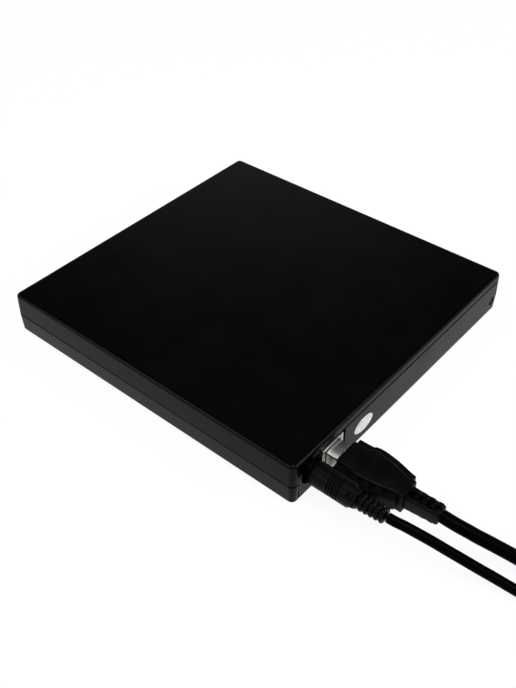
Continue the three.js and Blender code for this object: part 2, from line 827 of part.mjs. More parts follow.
const bearingHalf = rodRadius + runningGap + bearingWall;
const rodInner = rodV + bearingHalf;
const frameSide = rodInner + frameWall + restGap;
const frameLead = screwSpacing + sledMotorRadius + restGap + frameWall;
const frameCorner = frameReach + frameNose;
const plateUnder = mechTop - framePlate;
const rodBlock = 2 * frameWall;
const slotStart = pickupNear - sledHalfLength - restGap;
const slotEnd = frameReach - frameWall;
const slotHalf = sledHalfWidth + 2 * restGap;
const slotNose = sledNoseWidth + restGap;
const leadStart = pickupNear - nutOffset - nutHalf - restGap;
const rodStart = leadStart - rodBlock;
const motorEnd = rodStart - solderGap;
const motorStart = motorEnd - sledMotorLength;
const frameOutline = [
  [frameReach, -frameNose],
  [frameReach, frameNose],
  [frameCorner - frameSide, frameSide],
  [-frameTail + frameSide - frameNose, frameSide],
  [-frameTail, frameNose],
  [-frameTail, -frameNose],
  [motorStart - 2 * frameWall, -frameLead],
  [frameCorner - frameLead, -frameLead],
];
const bearingBack = sledHalfLength - runningGap;

// Tray: a plate with two disc recesses, a skirt round its underside and a groove along each side
const bossShares = [[0.82, -0.33], [0.9, 0.25], [-0.7, 0.74]];
const bossSpots = bossShares.map(([xShare, yShare]) => [
  xShare * (trayX - traySkirt), discY + yShare * recessRadius]);
const windowOutline = insetOutline(frameOutline, -2 * restGap).map(fromMechanism);
const buttonX = driveX - buttonInset;
const buttonZ = railZ + buttonRise;
const buttonFront = -halfDepth;
const bezelFront = -halfDepth + bezelInset;
const bezelRear = bezelFront + bezelThickness;
const flangeFront = trayFront + restGap;
const flangeRear = flangeFront + buttonFlange;
const springRoom = 3 * buttonTravel + restGap;
const buttonPocketRear = flangeRear + springRoom;
const flangeX = buttonWidth / 2 + buttonFlange;
const flangeZ = buttonHeight / 2 + buttonFlange / 2;
const lampX = buttonX - lampInset;
const lockX = latchPivotX - latchArm / 2 - lockPostRadius - runningGap;
const lockY = latchPivotY + latchLength - latchArm - 2 * lockPostRadius;
const lockTop = latchZ + latchThickness + 2 * restGap;
const damperSpots = [
  [-frameTail - damperRadius - 2 * restGap, 0],
  [frameReach / 2, frameSide + damperRadius + 2 * restGap],
  [frameReach / 3, -frameLead - damperRadius - 2 * restGap],
];
const damperTop = plateUnder - restGap;

function tray() {
  const body = block(-trayX, trayX, trayFront, trayRear, trayBottom, trayTop);
  const disc = bar('z', recessRadius, 0, discY, discFloor, trayTop + overrun, discSides);
  const smallDisc = bar('z', smallDiscRadius + discMargin, 0, discY, discFloor - smallRecess,
    discFloor + overrun, discSides);
  const skirtX = trayX - traySkirt;
  const frontWall = buttonPocketRear + pocketWall;
  const cornerX = buttonX - flangeX - pocketWall / 2;
  const underside = joined(
    block(-skirtX, skirtX, frontWall, trayRear - traySkirt, trayBottom - overrun, deckUnder),
    block(-skirtX, cornerX, trayFront + traySkirt, frontWall + overrun, trayBottom - overrun, deckUnder),
  );
  const window = slab(windowOutline, deckUnder - overrun, trayTop + overrun);
  const grooves = [-1, 1].map((side) => block(
    Math.min(side * (railX - railWidth / 2 - runningGap), side * (trayX + overrun)),
    Math.max(side * (railX - railWidth / 2 - runningGap), side * (trayX + overrun)),
    railFront - restGap, trayRear + overrun,
    railZ - railHeight / 2 - runningGap, railZ + railHeight / 2 + runningGap,
  ));
  const buttonPocket = block(buttonX - flangeX - runningGap, buttonX + flangeX + runningGap,
    trayFront - overrun, buttonPocketRear, buttonZ - flangeZ - runningGap, buttonZ + flangeZ + runningGap);
  const lampPocket = block(lampX - lampWidth / 2 - restGap, lampX + lampWidth / 2 + restGap,
    trayFront - overrun,
    trayFront + 2 * lampTail, buttonZ - lampHeight / 2 - restGap, buttonZ + lampHeight / 2 + restGap);
  const lockNotch = block(lockX - lockPostRadius - restGap, lockX + lockPostRadius + restGap,
    trayRear - traySkirt - overrun, trayRear + overrun, trayBottom - overrun, lockTop + restGap);
  const hollow = cut(body, disc, smallDisc, underside, window, ...grooves, buttonPocket, lampPocket,
    lockNotch);
  const bosses = bossSpots.map(([x, y]) => bar('z', bossRadius, x, y, trayBottom, deckUnder + restGap));
  const pins = damperSpots.map(fromMechanism).flatMap(([x, y]) => [
    bar('z', damperPinRadius, x, y, mechBottom, deckUnder + restGap),
    bar('z', damperRadius, x, y, damperTop + runningGap, deckUnder + restGap),
  ]);
  const pivot = bar('z', lockPostRadius, latchPivotX, latchPivotY, latchZ - runningGap, deckUnder + restGap);
  const holes = bossSpots.map(([x, y]) => bar('z', screwHoleRadius, x, y, trayBottom - overrun, deckUnder));
  return cut(joined(hollow, ...bosses, ...pins, pivot), ...holes);
}

addPiece('tray', tray(), trayGrey);

// Bezel on the tray's front, with its button, its lamp and the hole of the emergency release
function trayBezel() {
  const width = 2 * driveX - bezelGap;
  const height = driveHeight - bezelGap;
  const middle = (driveBottom + driveTop) / 2;
  const section = (inset, y) => roundedRing(width / 2 - inset, height / 2 - inset, bezelChamfer, y, 2);
  const plate = loft([section(0, 0), section(0, bezelThickness - bezelChamfer),
    section(bezelChamfer, bezelThickness)])
    .rotateX(Math.PI / 2).translate(0, bezelRear, middle);
  return cut(
    plate,
    block(buttonX - buttonWidth / 2 - restGap, buttonX + buttonWidth / 2 + restGap, bezelFront - overrun,
      bezelRear + overrun, buttonZ - buttonHeight / 2 - restGap, buttonZ + buttonHeight / 2 + restGap),
    block(lampX - lampWidth / 2 - solderGap, lampX + lampWidth / 2 + solderGap, bezelFront - overrun,
      bezelRear + overrun, buttonZ - lampHeight / 2 - solderGap, buttonZ + lampHeight / 2 + solderGap),
    bar('y', pinholeRadius, driveX - pinholeInset - lampInset, buttonZ, bezelFront - overrun,
      bezelRear + overrun),
  );
}

addPiece('tray_bezel', trayBezel(), blackPlastic);
addPiece('activity_lamp', block(lampX - lampWidth / 2, lampX + lampWidth / 2, bezelFront + solderGap,
  trayFront + lampTail, buttonZ - lampHeight / 2, buttonZ + lampHeight / 2), lampClear);

const buttonStem = block(buttonX - buttonWidth / 2, buttonX + buttonWidth / 2, buttonFront,
  flangeRear - restGap, buttonZ - buttonHeight / 2, buttonZ + buttonHeight / 2);
const flangePlate = block(buttonX - flangeX, buttonX + flangeX, flangeFront, flangeRear, buttonZ - flangeZ,
  buttonZ + flangeZ);
addPiece('eject_button', joined(buttonStem, flangePlate), blackPlastic);

// A closed tube through points that never run straight up, each ring of as many corners as it has sides
function tube(points, radius, sides, upwards = new THREE.Vector3(0, 0, 1)) {
  const rings = points.map((point, index) => {
    const before = points[Math.max(index - 1, 0)];
    const after = points[Math.min(index + 1, points.length - 1)];
    const along = after.clone().sub(before).normalize();
    const across = new THREE.Vector3().crossVectors(along, upwards).normalize();
    const over = new THREE.Vector3().crossVectors(across, along);
    return Array.from({ length: sides }, (unused, side) => {
      const angle = ((side + 0.5) / sides) * 2 * Math.PI;
      return point.clone().addScaledVector(across, radius * Math.cos(angle)).addScaledVector(over,
        -radius * Math.sin(angle));
    });
  });
  return loft(rings);
}

// The eject button's return spring, a wire wound about Y
function coilSpring(x, z, front, rear) {
  const steps = springCurls * 8;
  const reach = rear - front - 2 * springWire;
  const points = Array.from({ length: steps + 1 }, (unused, step) => {
    const angle = (step / 8) * 2 * Math.PI;
    return new THREE.Vector3(springRadius * Math.cos(angle), front + springWire + (step / steps) * reach,
      springRadius * Math.sin(angle));
  });
  return tube(points, springWire / 2, 5, new THREE.Vector3(0, 1, 0)).translate(x, 0, z);
}

addPiece('eject_spring', coilSpring(buttonX, buttonZ, flangeRear, buttonPocketRear), steel);

// Sheet under the tray, its screws, and the tray's own board
const sheetTop = trayBottom - solderGap;
const sheetBottom = sheetTop - bottomSheet;
const sheetX = trayX - restGap;
const sheetRear = trayRear - bottomSheetRearInset;
const bottomPlate = cut(
  block(-sheetX, sheetX, trayFront + restGap, sheetRear, sheetBottom, sheetTop),
  ...bossSpots.map(([x, y]) => bar('z', screwHeadRadius + restGap, x, y, sheetBottom - overrun,
    sheetTop + overrun)),
);
addPiece('tray_bottom_plate', bottomPlate, steel);

const trayBoardTop = deckUnder - restGap;
const trayBoardX = chipSize;
const trayBoardUnder = trayBoardTop - boardThickness;
const trayBoard = block(trayBoardX, latchPivotX - chipSize, sheetRear - 3 * chipSize,
  sheetRear + chipSize / 2, trayBoardUnder, trayBoardTop);
const trayChip = block(-chipSize / 2, chipSize / 2, -chipSize / 2, chipSize / 2, -chipHeight, solderGap)
  .translate(trayBoardX + chipSize, sheetRear - chipSize, trayBoardUnder);
addPiece('tray_board', joined(trayBoard, trayChip), boardGreen);

// Frame of the mechanism: a plate with a slot for the pickup and a skirt that holds the rods and the screw
const farBlock = pickupNear + pickupTravel + bearingHalf + restGap;
const leadFar = pickupNear + pickupTravel - nutOffset + nutHalf + restGap;
const basePosts = [[0, 1], [-1, 0], [0, -1]].map(([uShare, vShare]) => [
  uShare * (turntableRadius - restGap), vShare * (turntableRadius - restGap)]);
const baseThickness = frameWall / 2;
const tabBottom = mechBottom + frameWall;
const tabRadius = damperRadius + frameWall;
const damperGroove = damperRadius - frameWall / 2;

function mechanismFrame() {
  const outer = slab(frameOutline, mechBottom, mechTop);
  const inside = slab(insetOutline(frameOutline, frameWall), mechBottom - overrun, plateUnder);
  const taper = slotHalf - slotNose;
  const slot = slab([[slotStart, -slotHalf], [slotEnd - taper, -slotHalf], [slotEnd, -slotNose],
    [slotEnd, slotNose],
    [slotEnd - taper, slotHalf], [slotStart, slotHalf]], plateUnder - overrun, mechTop + overrun);
  const spindleHole = bar('z', spindleRadius + 2 * restGap, 0, 0, plateUnder - overrun, mechTop + overrun,
    2 * roundSides);
  const motorWindow = block(motorStart - restGap, motorEnd + restGap,
    -screwSpacing - sledMotorRadius - restGap,
    -screwSpacing + sledMotorRadius + restGap, plateUnder - overrun, mechTop + overrun);
  const plate = cut(outer, inside, slot, spindleHole, motorWindow);
  const holderHalf = bearingHalf + restGap;
  const rodHolders = [-1, 1].flatMap((side) => [rodStart, farBlock].map((u) => block(u, u + rodBlock,
    side * rodV - holderHalf, side * rodV + holderHalf, rodZ - bearingHalf, plateUnder + restGap)));
  const leadHolders = [rodStart, leadFar].map((u) => block(u, u + rodBlock,
    -screwSpacing - holderHalf, -screwSpacing + holderHalf, rodZ - bearingHalf, plateUnder + restGap));
  const posts = basePosts.map(([u, v]) => bar('z', frameWall, u, v, mechBottom + baseThickness + solderGap,
    plateUnder + restGap));
  const skirtMiddle = frameWall / 2;
  const tabRoots = [
    [[-frameTail + skirtMiddle, -tabRadius], [damperSpots[0][0], tabRadius]],
    [[damperSpots[1][0] - tabRadius, frameSide - skirtMiddle],
      [damperSpots[1][0] + tabRadius, damperSpots[1][1]]],
    [[damperSpots[2][0] - tabRadius, -frameLead + skirtMiddle],
      [damperSpots[2][0] + tabRadius, damperSpots[2][1]]],
  ];
  const tabs = damperSpots.map(([u, v], index) => {
    const [[rootU, rootV], [farU, farV]] = tabRoots[index];
    return joined(
      bar('z', tabRadius, u, v, tabBottom, tabBottom + frameWall, roundSides),
      block(Math.min(rootU, farU), Math.max(rootU, farU), Math.min(rootV, farV), Math.max(rootV, farV),
        tabBottom, tabBottom + frameWall),
    );
  });
  const whole = joined(plate, kept(joined(...rodHolders, ...leadHolders), outer), ...posts, ...tabs);
  const rodHoles = [-1, 1].map((side) => bar('x', rodRadius + solderGap, side * rodV, rodZ,
    rodStart - overrun, farBlock + rodBlock - frameWall / 2));
  const leadHole = bar('x', leadRadius + runningGap, -screwSpacing, rodZ, rodStart - overrun,
    leadFar + rodBlock - frameWall / 2);
  const tabHoles = damperSpots.map(([u, v]) => bar('z', damperGroove + solderGap, u, v, tabBottom - overrun,
    tabBottom + frameWall + overrun, roundSides));
  return cut(whole, ...rodHoles, leadHole, ...tabHoles);
}

addPiece('mechanism_frame', mechanismFrame(), darkSteel, mechanism);

function damper() {
  const bore = damperPinRadius + solderGap;
  const groove = tabBottom - solderGap;
  const grooveTop = tabBottom + frameWall + solderGap;
  return turned([[bore, mechBottom], [damperRadius, mechBottom], [damperRadius, groove],
    [damperGroove, groove],
    [damperGroove, grooveTop], [damperRadius, grooveTop], [damperRadius, damperTop], [bore, damperTop],
    [bore, mechBottom]]);
}

damperSpots.forEach(([u, v], index) => {
  addPiece(`damper_${index + 1}`, damper().translate(u, v, 0), rubber, mechanism);
});

[['inner', 1], ['outer', -1]].forEach(([place, side]) => {
  const rod = bar('x', rodRadius, side * rodV, rodZ, rodStart + restGap, farBlock + rodBlock - frameWall);
  addPiece(`guide_rod_${place}`, rod, plated, mechanism);
});

// Spindle motor below, its turntable with the hub and its three chuck balls above
const baseTop = mechBottom + baseThickness;
const statorTop = plateUnder - runningGap;
const cupWall = shaftRadius;
const cupInner = spindleRadius - cupWall;
const statorRadius = cupInner - restGap;
const tableBottom = discSeat - turntableThickness;
const hubTop = discSeat + hubRise;
const ballRadius = shaftRadius;
const ballReach = hubRadius - ballRadius + restGap;

function spindleMotor() {
  const base = turned([[0, mechBottom], [turntableRadius + frameWall, mechBottom],
    [turntableRadius + frameWall, baseTop],
    [statorRadius, baseTop], [statorRadius, statorTop], [0, statorTop]]);
  const sledRoom = block(slotStart, 2 * turntableRadius, -turntableRadius, turntableRadius,
    mechBottom - overrun, statorTop + overrun);
  return cut(base, sledRoom, bar('z', shaftRadius + solderGap, 0, 0, baseTop, statorTop + overrun));
}

const balls = [0, 1, 2].map((third) => {
  const angle = (third / 3) * 2 * Math.PI;
  return { u: ballReach * Math.cos(angle), v: ballReach * Math.sin(angle), level: discSeat + hubRise / 2 };
});

function ball(radius, { u, v, level }) {
  return new THREE.SphereGeometry(radius, smallSides, smallSides / 2).rotateX(Math.PI / 2).translate(u, v,
    level);
}

function turntable() {
  const body = turned([[0, baseTop + restGap], [shaftRadius, baseTop + restGap],
    [shaftRadius, statorTop + restGap],
    [cupInner, statorTop + restGap], [cupInner, baseTop + restGap], [spindleRadius, baseTop + restGap],
    [spindleRadius, tableBottom], [turntableRadius, tableBottom], [turntableRadius, discSeat],
      [hubRadius, discSeat],
    [hubRadius, hubTop - hubBevel], [hubRadius - hubBevel, hubTop], [0, hubTop]], 2 * roundSides);
  return joined(body, ...balls.map((place) => ball(ballRadius, place)));
}

addPiece('spindle_motor', spindleMotor(), steel, mechanism);
addPiece('turntable', turntable(), blackPlastic, mechanism);

// Pickup on its two rods, moved by a half nut on the lead screw
const bearingTop = plateUnder - restGap;
const holderHalfU = 2 * lensRadius;
const holderHalfV = holderHalfU + frameWall / 2;
const holderBottom = plateUnder - restGap;
const holderTop = mechTop + restGap;

function pickupSled() {
  const taper = sledHalfWidth - sledNoseWidth;
  const body = slab([[-sledHalfLength, -sledHalfWidth], [sledHalfLength - taper, -sledHalfWidth],
    [sledHalfLength, -sledNoseWidth], [sledHalfLength, sledNoseWidth],
      [sledHalfLength - taper, sledHalfWidth],
    [-sledHalfLength, sledHalfWidth]], mechBottom, mechTop - solderGap);
  const arms = block(-bearingBack, bearingHalf, -rodInner, rodInner, rodZ - bearingHalf, bearingTop);
  const nutArm = block(-nutOffset - nutHalf, -bearingBack / 2, -rodInner, -sledHalfWidth + overrun, rodZ,
    bearingTop);
  const nut = block(-nutOffset - nutHalf, -nutOffset + nutHalf, -screwSpacing - bearingHalf, -rodV, rodZ,
    bearingTop);
  const rodHoles = [-1, 1].map((side) => bar('x', rodRadius + runningGap, side * rodV, rodZ,
    -2 * sledHalfLength, sledHalfLength, roundSides));
  const thread = bar('x', leadRadius + runningGap, -screwSpacing, rodZ, -2 * sledHalfLength, sledHalfLength,
    roundSides);
  const lensPocket = block(-holderHalfU - 2 * restGap, holderHalfU + 2 * restGap, -holderHalfV - 2 * restGap,
    holderHalfV + 2 * restGap, holderBottom - lensFocus - runningGap, mechTop + overrun);
  return cut(joined(body, arms, nutArm, nut), ...rodHoles, thread, lensPocket).translate(pickupNear, 0, 0);
}

function lensHolder() {
  const holder = block(-holderHalfU, holderHalfU, -holderHalfV, holderHalfV, holderBottom, holderTop);
  const lens = turned([[0, holderTop - restGap], [lensRadius, holderTop - restGap], [lensRadius, holderTop],
    [lensRadius * 3 / 4, holderTop + lensRise * 3 / 4], [lensRadius / 3, holderTop + lensRise],
    [0, holderTop + lensRise]]);
  return joined(holder, lens).translate(pickupNear, 0, 0);
}

addPiece('pickup_sled', pickupSled(), darkSteel, mechanism);
addPiece('lens_holder', lensHolder(), chipBlack, mechanism);
addPiece('lead_screw', bar('x', leadRadius, -screwSpacing, rodZ, motorEnd + solderGap,
  leadFar + rodBlock - frameWall), plated, mechanism);
addPiece('sled_motor', bar('x', sledMotorRadius, -screwSpacing, rodZ, motorStart, motorEnd, roundSides),
  steel, mechanism);

// Latch: a post on the pan, and a lever with its magnet in the tray, drawn hooked and shown let go
const lockPost = bar('z', lockPostRadius, lockX, lockY, panTop + solderGap, lockTop);
addPiece('lock_post', lockPost, steel);

const latch = new THREE.Group();
latch.position.set(latchPivotX, latchPivotY, 0);
latch.rotation.z = -latchRelease * Math.PI / 180;
drive.add(latch);

function latchLever() {
  const half = latchArm / 2;
  const eye = bar('z', 2 * lockPostRadius, 0, 0, latchZ, latchZ + latchThickness, roundSides);
  const arm = block(-half, half, 0, latchLength, latchZ, latchZ + latchThickness);
  const tooth = block(half - latchTooth, half, latchLength - latchArm, latchLength, latchZ,
    latchZ + latchThickness);
  return cut(joined(eye, arm, tooth), bar('z', lockPostRadius + runningGap, 0, 0, latchZ - overrun,
    latchZ + latchThickness + overrun));
}

addPiece('latch_lever', latchLever(), plated, latch);
const solenoidX = latchPivotX + 2 * latchArm;
addPiece('latch_magnet', block(solenoidX, solenoidX + solenoidLength, latchPivotY,
  latchPivotY + solenoidWidth, latchZ, latchZ + solenoidHeight), steel);

// Data plug: a plated shell in the socket, and an overmould drawn in to its strain relief
function usbPlugShell() {
  const inner = barAlongY(squareSection(usbShellWidth - 2 * usbSheet, usbShellHeight - 2 * usbSheet,
    usbOpeningBevel - usbSheet / 2), usbShellTip - overrun, usbPlugFace + overrun).translate(usbX, 0, usbZ);
  return cut(usbSection(0, usbShellTip, usbPlugFace - solderGap), inner);
}

const plugHalfHeight = usbPlugHeight / 2;
const usbReliefHalf = usbCordDiameter / 2 + reliefWall;
const usbReliefEndHalf = usbCordDiameter / 2 + reliefEndWall;
// Each ring of the overmould: its shares of the length, the width and the height
const usbPlugShares = [
  [0, 0.794, 0.92], [0.026, 0.824, 1], [0.16, 0.853, 1], [0.17, 0.956, 1], [0.237, 1, 1],
  [0.365, 0.941, 0.98], [0.479, 0.794, 0.94], [0.594, 0.618, 0.86], [0.624, 0.588, 0.84],
  [0.626, 0.632, 0.84, 0.04], [0.677, 0.632, 0.84, 0.04],
];

function roundedSection(halfX, halfZ, radius, y) {
  return roundedRing(halfX, halfZ, radius, y, 2);
}

function plugLoft(stations, x, z) {
  const rings = stations.map(({ reach, halfX, halfZ, rise }) => {
    const ring = roundedSection(halfX, halfZ, plugCorner, reach);
    return ring.map((point) => point.setY(point.y - rise));
  });
  return loft(rings).rotateX(-Math.PI / 2).translate(x, 0, z);
}

function usbPlug() {
  const body = usbPlugShares.map(([reachShare, widthShare, heightShare, riseShare = 0]) => ({
    reach: usbPlugFace + usbPlugLength * reachShare,
    halfX: (usbPlugWidth / 2) * widthShare,
    halfZ: plugHalfHeight * heightShare,
    rise: usbPlugHeight * riseShare,
  }));
  const reliefStart = body[body.length - 1].reach;
  const reliefEnd = usbPlugFace + usbPlugLength;
  const relief = plugLoft([
    { reach: reliefStart - overrun, halfX: usbReliefHalf, halfZ: usbReliefHalf, rise: reliefRise },
    { reach: reliefEnd, halfX: usbReliefEndHalf, halfZ: usbReliefEndHalf, rise: reliefEndRise },
  ], usbX, usbZ);
  const insert = barAlongY(squareSection(usbShellWidth - 2 * usbSheet - 2 * solderGap,
    usbShellHeight - 2 * usbSheet - 2 * solderGap, usbOpeningBevel - usbSheet / 2), usbShellTip + restGap,
  usbPlugFace + overrun).translate(usbX, 0, usbZ);
  const tongueRoom = block(usbX - usbTongueWidth / 2 - restGap, usbX + usbTongueWidth / 2 + restGap,
    usbShellTip - overrun, usbTongueTip + restGap, usbZ - usbTongueHeight / 2 - restGap,
    usbZ + usbTongueHeight / 2 + restGap);
  return cut(joined(plugLoft(body, usbX, usbZ), relief, insert), tongueRoom);
}

addPiece('usb_plug_shell', usbPlugShell(), plated);
addPiece('usb_plug', usbPlug(), softPlastic);

// Power plug: a barrel in the jack, a round body with fine rings and a ribbed strain relief
const dcPlugFace = dcFace + restGap;
const dcPlugShares = [
  [0, 0], [0.74, 0], [0.74, 0.09], [0.92, 0.1], [1, 0.135], [1, 0.6], [0.93, 0.66], [0.74, 0.68],
];

function dcPlug() {
  const reliefStart = dcPlugLength * dcPlugShares[dcPlugShares.length - 1][1];
  const ribPitch = (dcPlugLength - reliefStart) / dcRibs;
  const profile = dcPlugShares.map(([radiusShare, reachShare]) => [radiusShare * dcPlugRadius,
    reachShare * dcPlugLength]);
  for (let rib = 0; rib < dcRibs; rib += 1) {
    const start = reliefStart + rib * ribPitch;
    const outer = dcPlugRadius * (ribOuterShare - ribTaperShare * rib);
    const inner = outer - dcPlugRadius * ribDepthShare;
    profile.push([inner, start], [inner, start + ribPitch / 3], [outer, start + ribPitch / 2],
      [outer, start + ribPitch * 7 / 8], [inner, start + ribPitch]);
  }
  profile.push([0, dcPlugLength]);
  const body = turned(profile).rotateX(-Math.PI / 2);
  return body.translate(dcX, dcPlugFace, dcZ);
}

addPiece('dc_plug', dcPlug(), softPlastic);

const dcBarrel = cut(
  bar('y', dcBarrelRadius, dcX, dcZ, dcPlugFace - dcBarrelLength, dcPlugFace - solderGap, roundSides),
  bar('y', dcBarrelBore, dcX, dcZ, dcPlugFace - dcBarrelLength - overrun, dcPlugFace),
);
addPiece('dc_barrel', dcBarrel, plated);

// Cords: a free stretch to each coil. Each point has how far across it lies, in cord diameters,
// its share of the way from the plug to the middle of the coil, and its share of the plug's height.
const usbCordStart = usbPlugFace + usbPlugLength + restGap;
const dcCordStart = dcPlugFace + dcPlugLength + restGap;
const usbCoilX = usbX - usbCoilAcross;
const usbCoilY = halfDepth + usbCoilBehind;
const dcCoilX = dcX + dcCoilAcross;
const dcCoilY = halfDepth + dcCoilBehind;
const usbRouteShares = [
  [0, 0, 1], [0, 0.058, 0.99], [-0.06, 0.107, 0.95], [-0.17, 0.156, 0.89], [-0.31, 0.215, 0.8],
  [-0.48, 0.264, 0.71], [-0.69, 0.333, 0.59], [-0.9, 0.392, 0.46], [-1.08, 0.45, 0.34], [-1.21, 0.509, 0.22],
  [-1.27, 0.578, 0.12], [-1.23, 0.637, 0.05], [-1.1, 0.696, 0.01], [-0.94, 0.745, 0],
];
const dcRouteShares = [
  [0, 0, 1], [-0.05, 0.03, 0.99], [-0.19, 0.06, 0.97], [-0.35, 0.1, 0.92], [-0.54, 0.14, 0.85],
  [-0.76, 0.18, 0.75], [-1, 0.23, 0.63], [-1.27, 0.28, 0.5], [-1.54, 0.34, 0.37], [-1.81, 0.39, 0.25],
  [-2.05, 0.45, 0.14], [-2.24, 0.51, 0.06], [-2.35, 0.58, 0.02], [-2.38, 0.65, 0], [-2.32, 0.71, 0],
  [-2.24, 0.78, 0],
];

function laidRoute(shares, diameter, x, y, z, coilY) {
  return shares.map(([acrossShare, wayShare, levelShare]) => new THREE.Vector3(
    x + acrossShare * diameter,
    THREE.MathUtils.lerp(y, coilY, wayShare),
    THREE.MathUtils.lerp(diameter / 2, z, levelShare),
  ));
}

const usbRoute = laidRoute(usbRouteShares, usbCordDiameter, usbX, usbCordStart, usbZ + reliefEndRise,
  usbCoilY);
const dcRoute = laidRoute(dcRouteShares, dcCordDiameter, dcX, dcCordStart, dcZ, dcCoilY);

// A wound coil in two layers: in along the lower, up in the half turn where it reverses, out along the upper.
// It starts at one angle and leaves straight, sinking to the height of the plug that it ends in.
function coilPoints({ x, y, diameter, radius, turns, start, turning, tailLength, tailLevel }) {
  const pitch = diameter + coilGap;
  const layerTurns = (turns - 0.5) / 2;
  const outer = radius + (pitch * layerTurns) / 2;
  const steps = Math.round(turns * coilSteps);
  const points = [];
  for (let step = 0; step <= steps; step += 1) {
    const turn = (step / steps) * turns;
    const reversed = THREE.MathUtils.clamp(2 * (turn - layerTurns), 0, 1);
    const climb = THREE.MathUtils.smoothstep(reversed, 0, 1);
    const spiralled = Math.min(turn, layerTurns) - Math.max(turn - layerTurns - 0.5, 0)
      + (reversed - reversed * reversed) / 2;
    const ring = outer - pitch * spiralled;
    const angle = start + turning * turn * 2 * Math.PI;
    points.push(new THREE.Vector3(x + ring * Math.cos(angle), y + ring * Math.sin(angle),
      diameter / 2 + pitch * climb));
  }
  const last = points[points.length - 1];
  const heading = last.clone().sub(points[points.length - 2]).setZ(0).normalize();
  for (let step = 1; step <= tailSteps; step += 1) {
    const level = THREE.MathUtils.lerp(last.z, tailLevel, THREE.MathUtils.smootherstep(step / (tailSteps - 1),
      0, 1));
    points.push(last.clone().addScaledVector(heading, (step / tailSteps) * tailLength).setZ(level));
  }
  return points;
}

function lengthOf(points) {
  return points.slice(1).reduce((sum, point, index) => sum + point.distanceTo(points[index]), 0);
}

// The least gap between two stretches of a tube that are more than half a turn apart
function leastGap(points, diameter) {
  let least = Infinity;
  points.forEach((point, index) => points.slice(index + coilSteps / 2).forEach((other) => {
    least = Math.min(least, point.distanceTo(other) - diameter);
  }));
  return least;
}

// A smooth cord through its points, stopping short of the coil that it meets
function cordStretch(route, diameter, name) {
  const curve = new THREE.CatmullRomCurve3(route, false, 'centripetal');
  const steps = Math.ceil(curve.getLength() / (cordStepShare * diameter));
  const sides = Array.from({ length: cordSides }, (unused, side) => {
    const angle = ((side + 0.5) / cordSides) * 2 * Math.PI;
    return new THREE.Vector2((diameter / 2) * Math.cos(angle), (diameter / 2) * Math.sin(angle));
  });
  const tubeSolid = new THREE.ExtrudeGeometry(new THREE.Shape(sides),
    { steps, bevelEnabled: false, extrudePath: curve });
  addPiece(name, tubeSolid, cordBlack);
  return curve.getLength();
}

function cable(name, route, coil) {
  const turns = coilPoints(coil);
  const first = turns[0];
  const inward = turns[0].clone().sub(turns[1]).setZ(0).normalize();
  const meeting = first.clone().addScaledVector(inward, coil.diameter);
  const points = [...route];
  points.push(meeting.clone().addScaledVector(inward, restGap + coil.diameter));
  points.push(meeting.clone().addScaledVector(inward, restGap));
  const wound = [meeting, ...turns];
  addPiece(`${name}_coil`, tube(wound, coil.diameter / 2, loopSides), cordBlack);
  const stretch = cordStretch(points, coil.diameter, `${name}_cord`);
  const length = (stretch + lengthOf(wound)).toFixed(1);
  const gap = leastGap(turns, coil.diameter).toFixed(2);
  console.log(`${name} cable: ${length} mm, ${stretch.toFixed(1)} mm of it free; the coil's gap ${gap} mm`);
  const end = wound[wound.length - 1];
  const heading = end.clone().sub(wound[wound.length - 2]);
  return { end, turn: Math.atan2(heading.y, heading.x) };
}

const farPlugLevel = farPlugHeight / 2;
const usbEnd = cable('usb', usbRoute, {
  x: usbCoilX,
  y: usbCoilY,
  diameter: usbCordDiameter,
  radius: usbCoilRadius,
  turns: usbCoilTurns,
  start: 0,
  turning: 1,
  tailLength: usbTailLength,
  tailLevel: farPlugLevel,
});
const dcEnd = cable('dc', dcRoute, {
  x: dcCoilX,
  y: dcCoilY,
  diameter: dcCordDiameter,
  radius: dcCoilRadius,
  turns: dcCoilTurns,
  start: Math.PI,
  turning: -1,
  tailLength: dcTailLength,
  tailLevel: farPlugLevel,
});

// Far-end plugs, modelled along +X from the cord's end and laid where the coils leave off
function farPlugBody(cordDiameter) {
  const halfWidthHere = farPlugWidth / 2;
  const halfHeight = farPlugHeight / 2;
  const reliefHalf = cordDiameter / 2 + 2 * farShellSheet;
  const bodyEnd = farReliefLength + farPlugLength;
  const rings = [[0, reliefHalf, reliefHalf], [farReliefLength, reliefHalf, reliefHalf],
    [farReliefLength + plugCorner, halfWidthHere * farNeckWidthShare, halfHeight * farNeckHeightShare],
    [farReliefLength + farPlugLength / 4, halfWidthHere, halfHeight],
    [bodyEnd - plugCorner, halfWidthHere, halfHeight],
    [bodyEnd, halfWidthHere - plugCorner / 2, halfHeight - plugCorner / 2]];
  const body = loft(rings.map(([reach, halfY, halfZ]) => roundedSection(halfY, halfZ, reliefHalf / 2,
    reach)));
  const insert = block(-farShellWidth / 2 + farShellSheet + solderGap,
    farShellWidth / 2 - farShellSheet - solderGap,
    -farShellHeight / 2 + farShellSheet + solderGap, -solderGap, bodyEnd - overrun,
      bodyEnd + farShellLength - overrun);
  return joined(body, insert);
}

function farShell() {
  const start = farReliefLength + farPlugLength + solderGap;
  const outer = block(-farShellWidth / 2, farShellWidth / 2, -farShellHeight / 2, farShellHeight / 2, start,
    start + farShellLength);
  const inner = block(-farShellWidth / 2 + farShellSheet, farShellWidth / 2 - farShellSheet,
    -farShellHeight / 2 + farShellSheet, farShellHeight / 2 - farShellSheet, start - overrun,
    start + farShellLength + overrun);
  return cut(outer, inner);
}

function layFarPlug(name, geometry, material, { end, turn }) {
  const along = geometry.rotateX(Math.PI / 2).rotateZ(Math.PI / 2).translate(restGap, 0, 0);
  const mesh = addPiece(name, along, material);
  mesh.position.copy(end);
  mesh.rotation.z = turn;
}

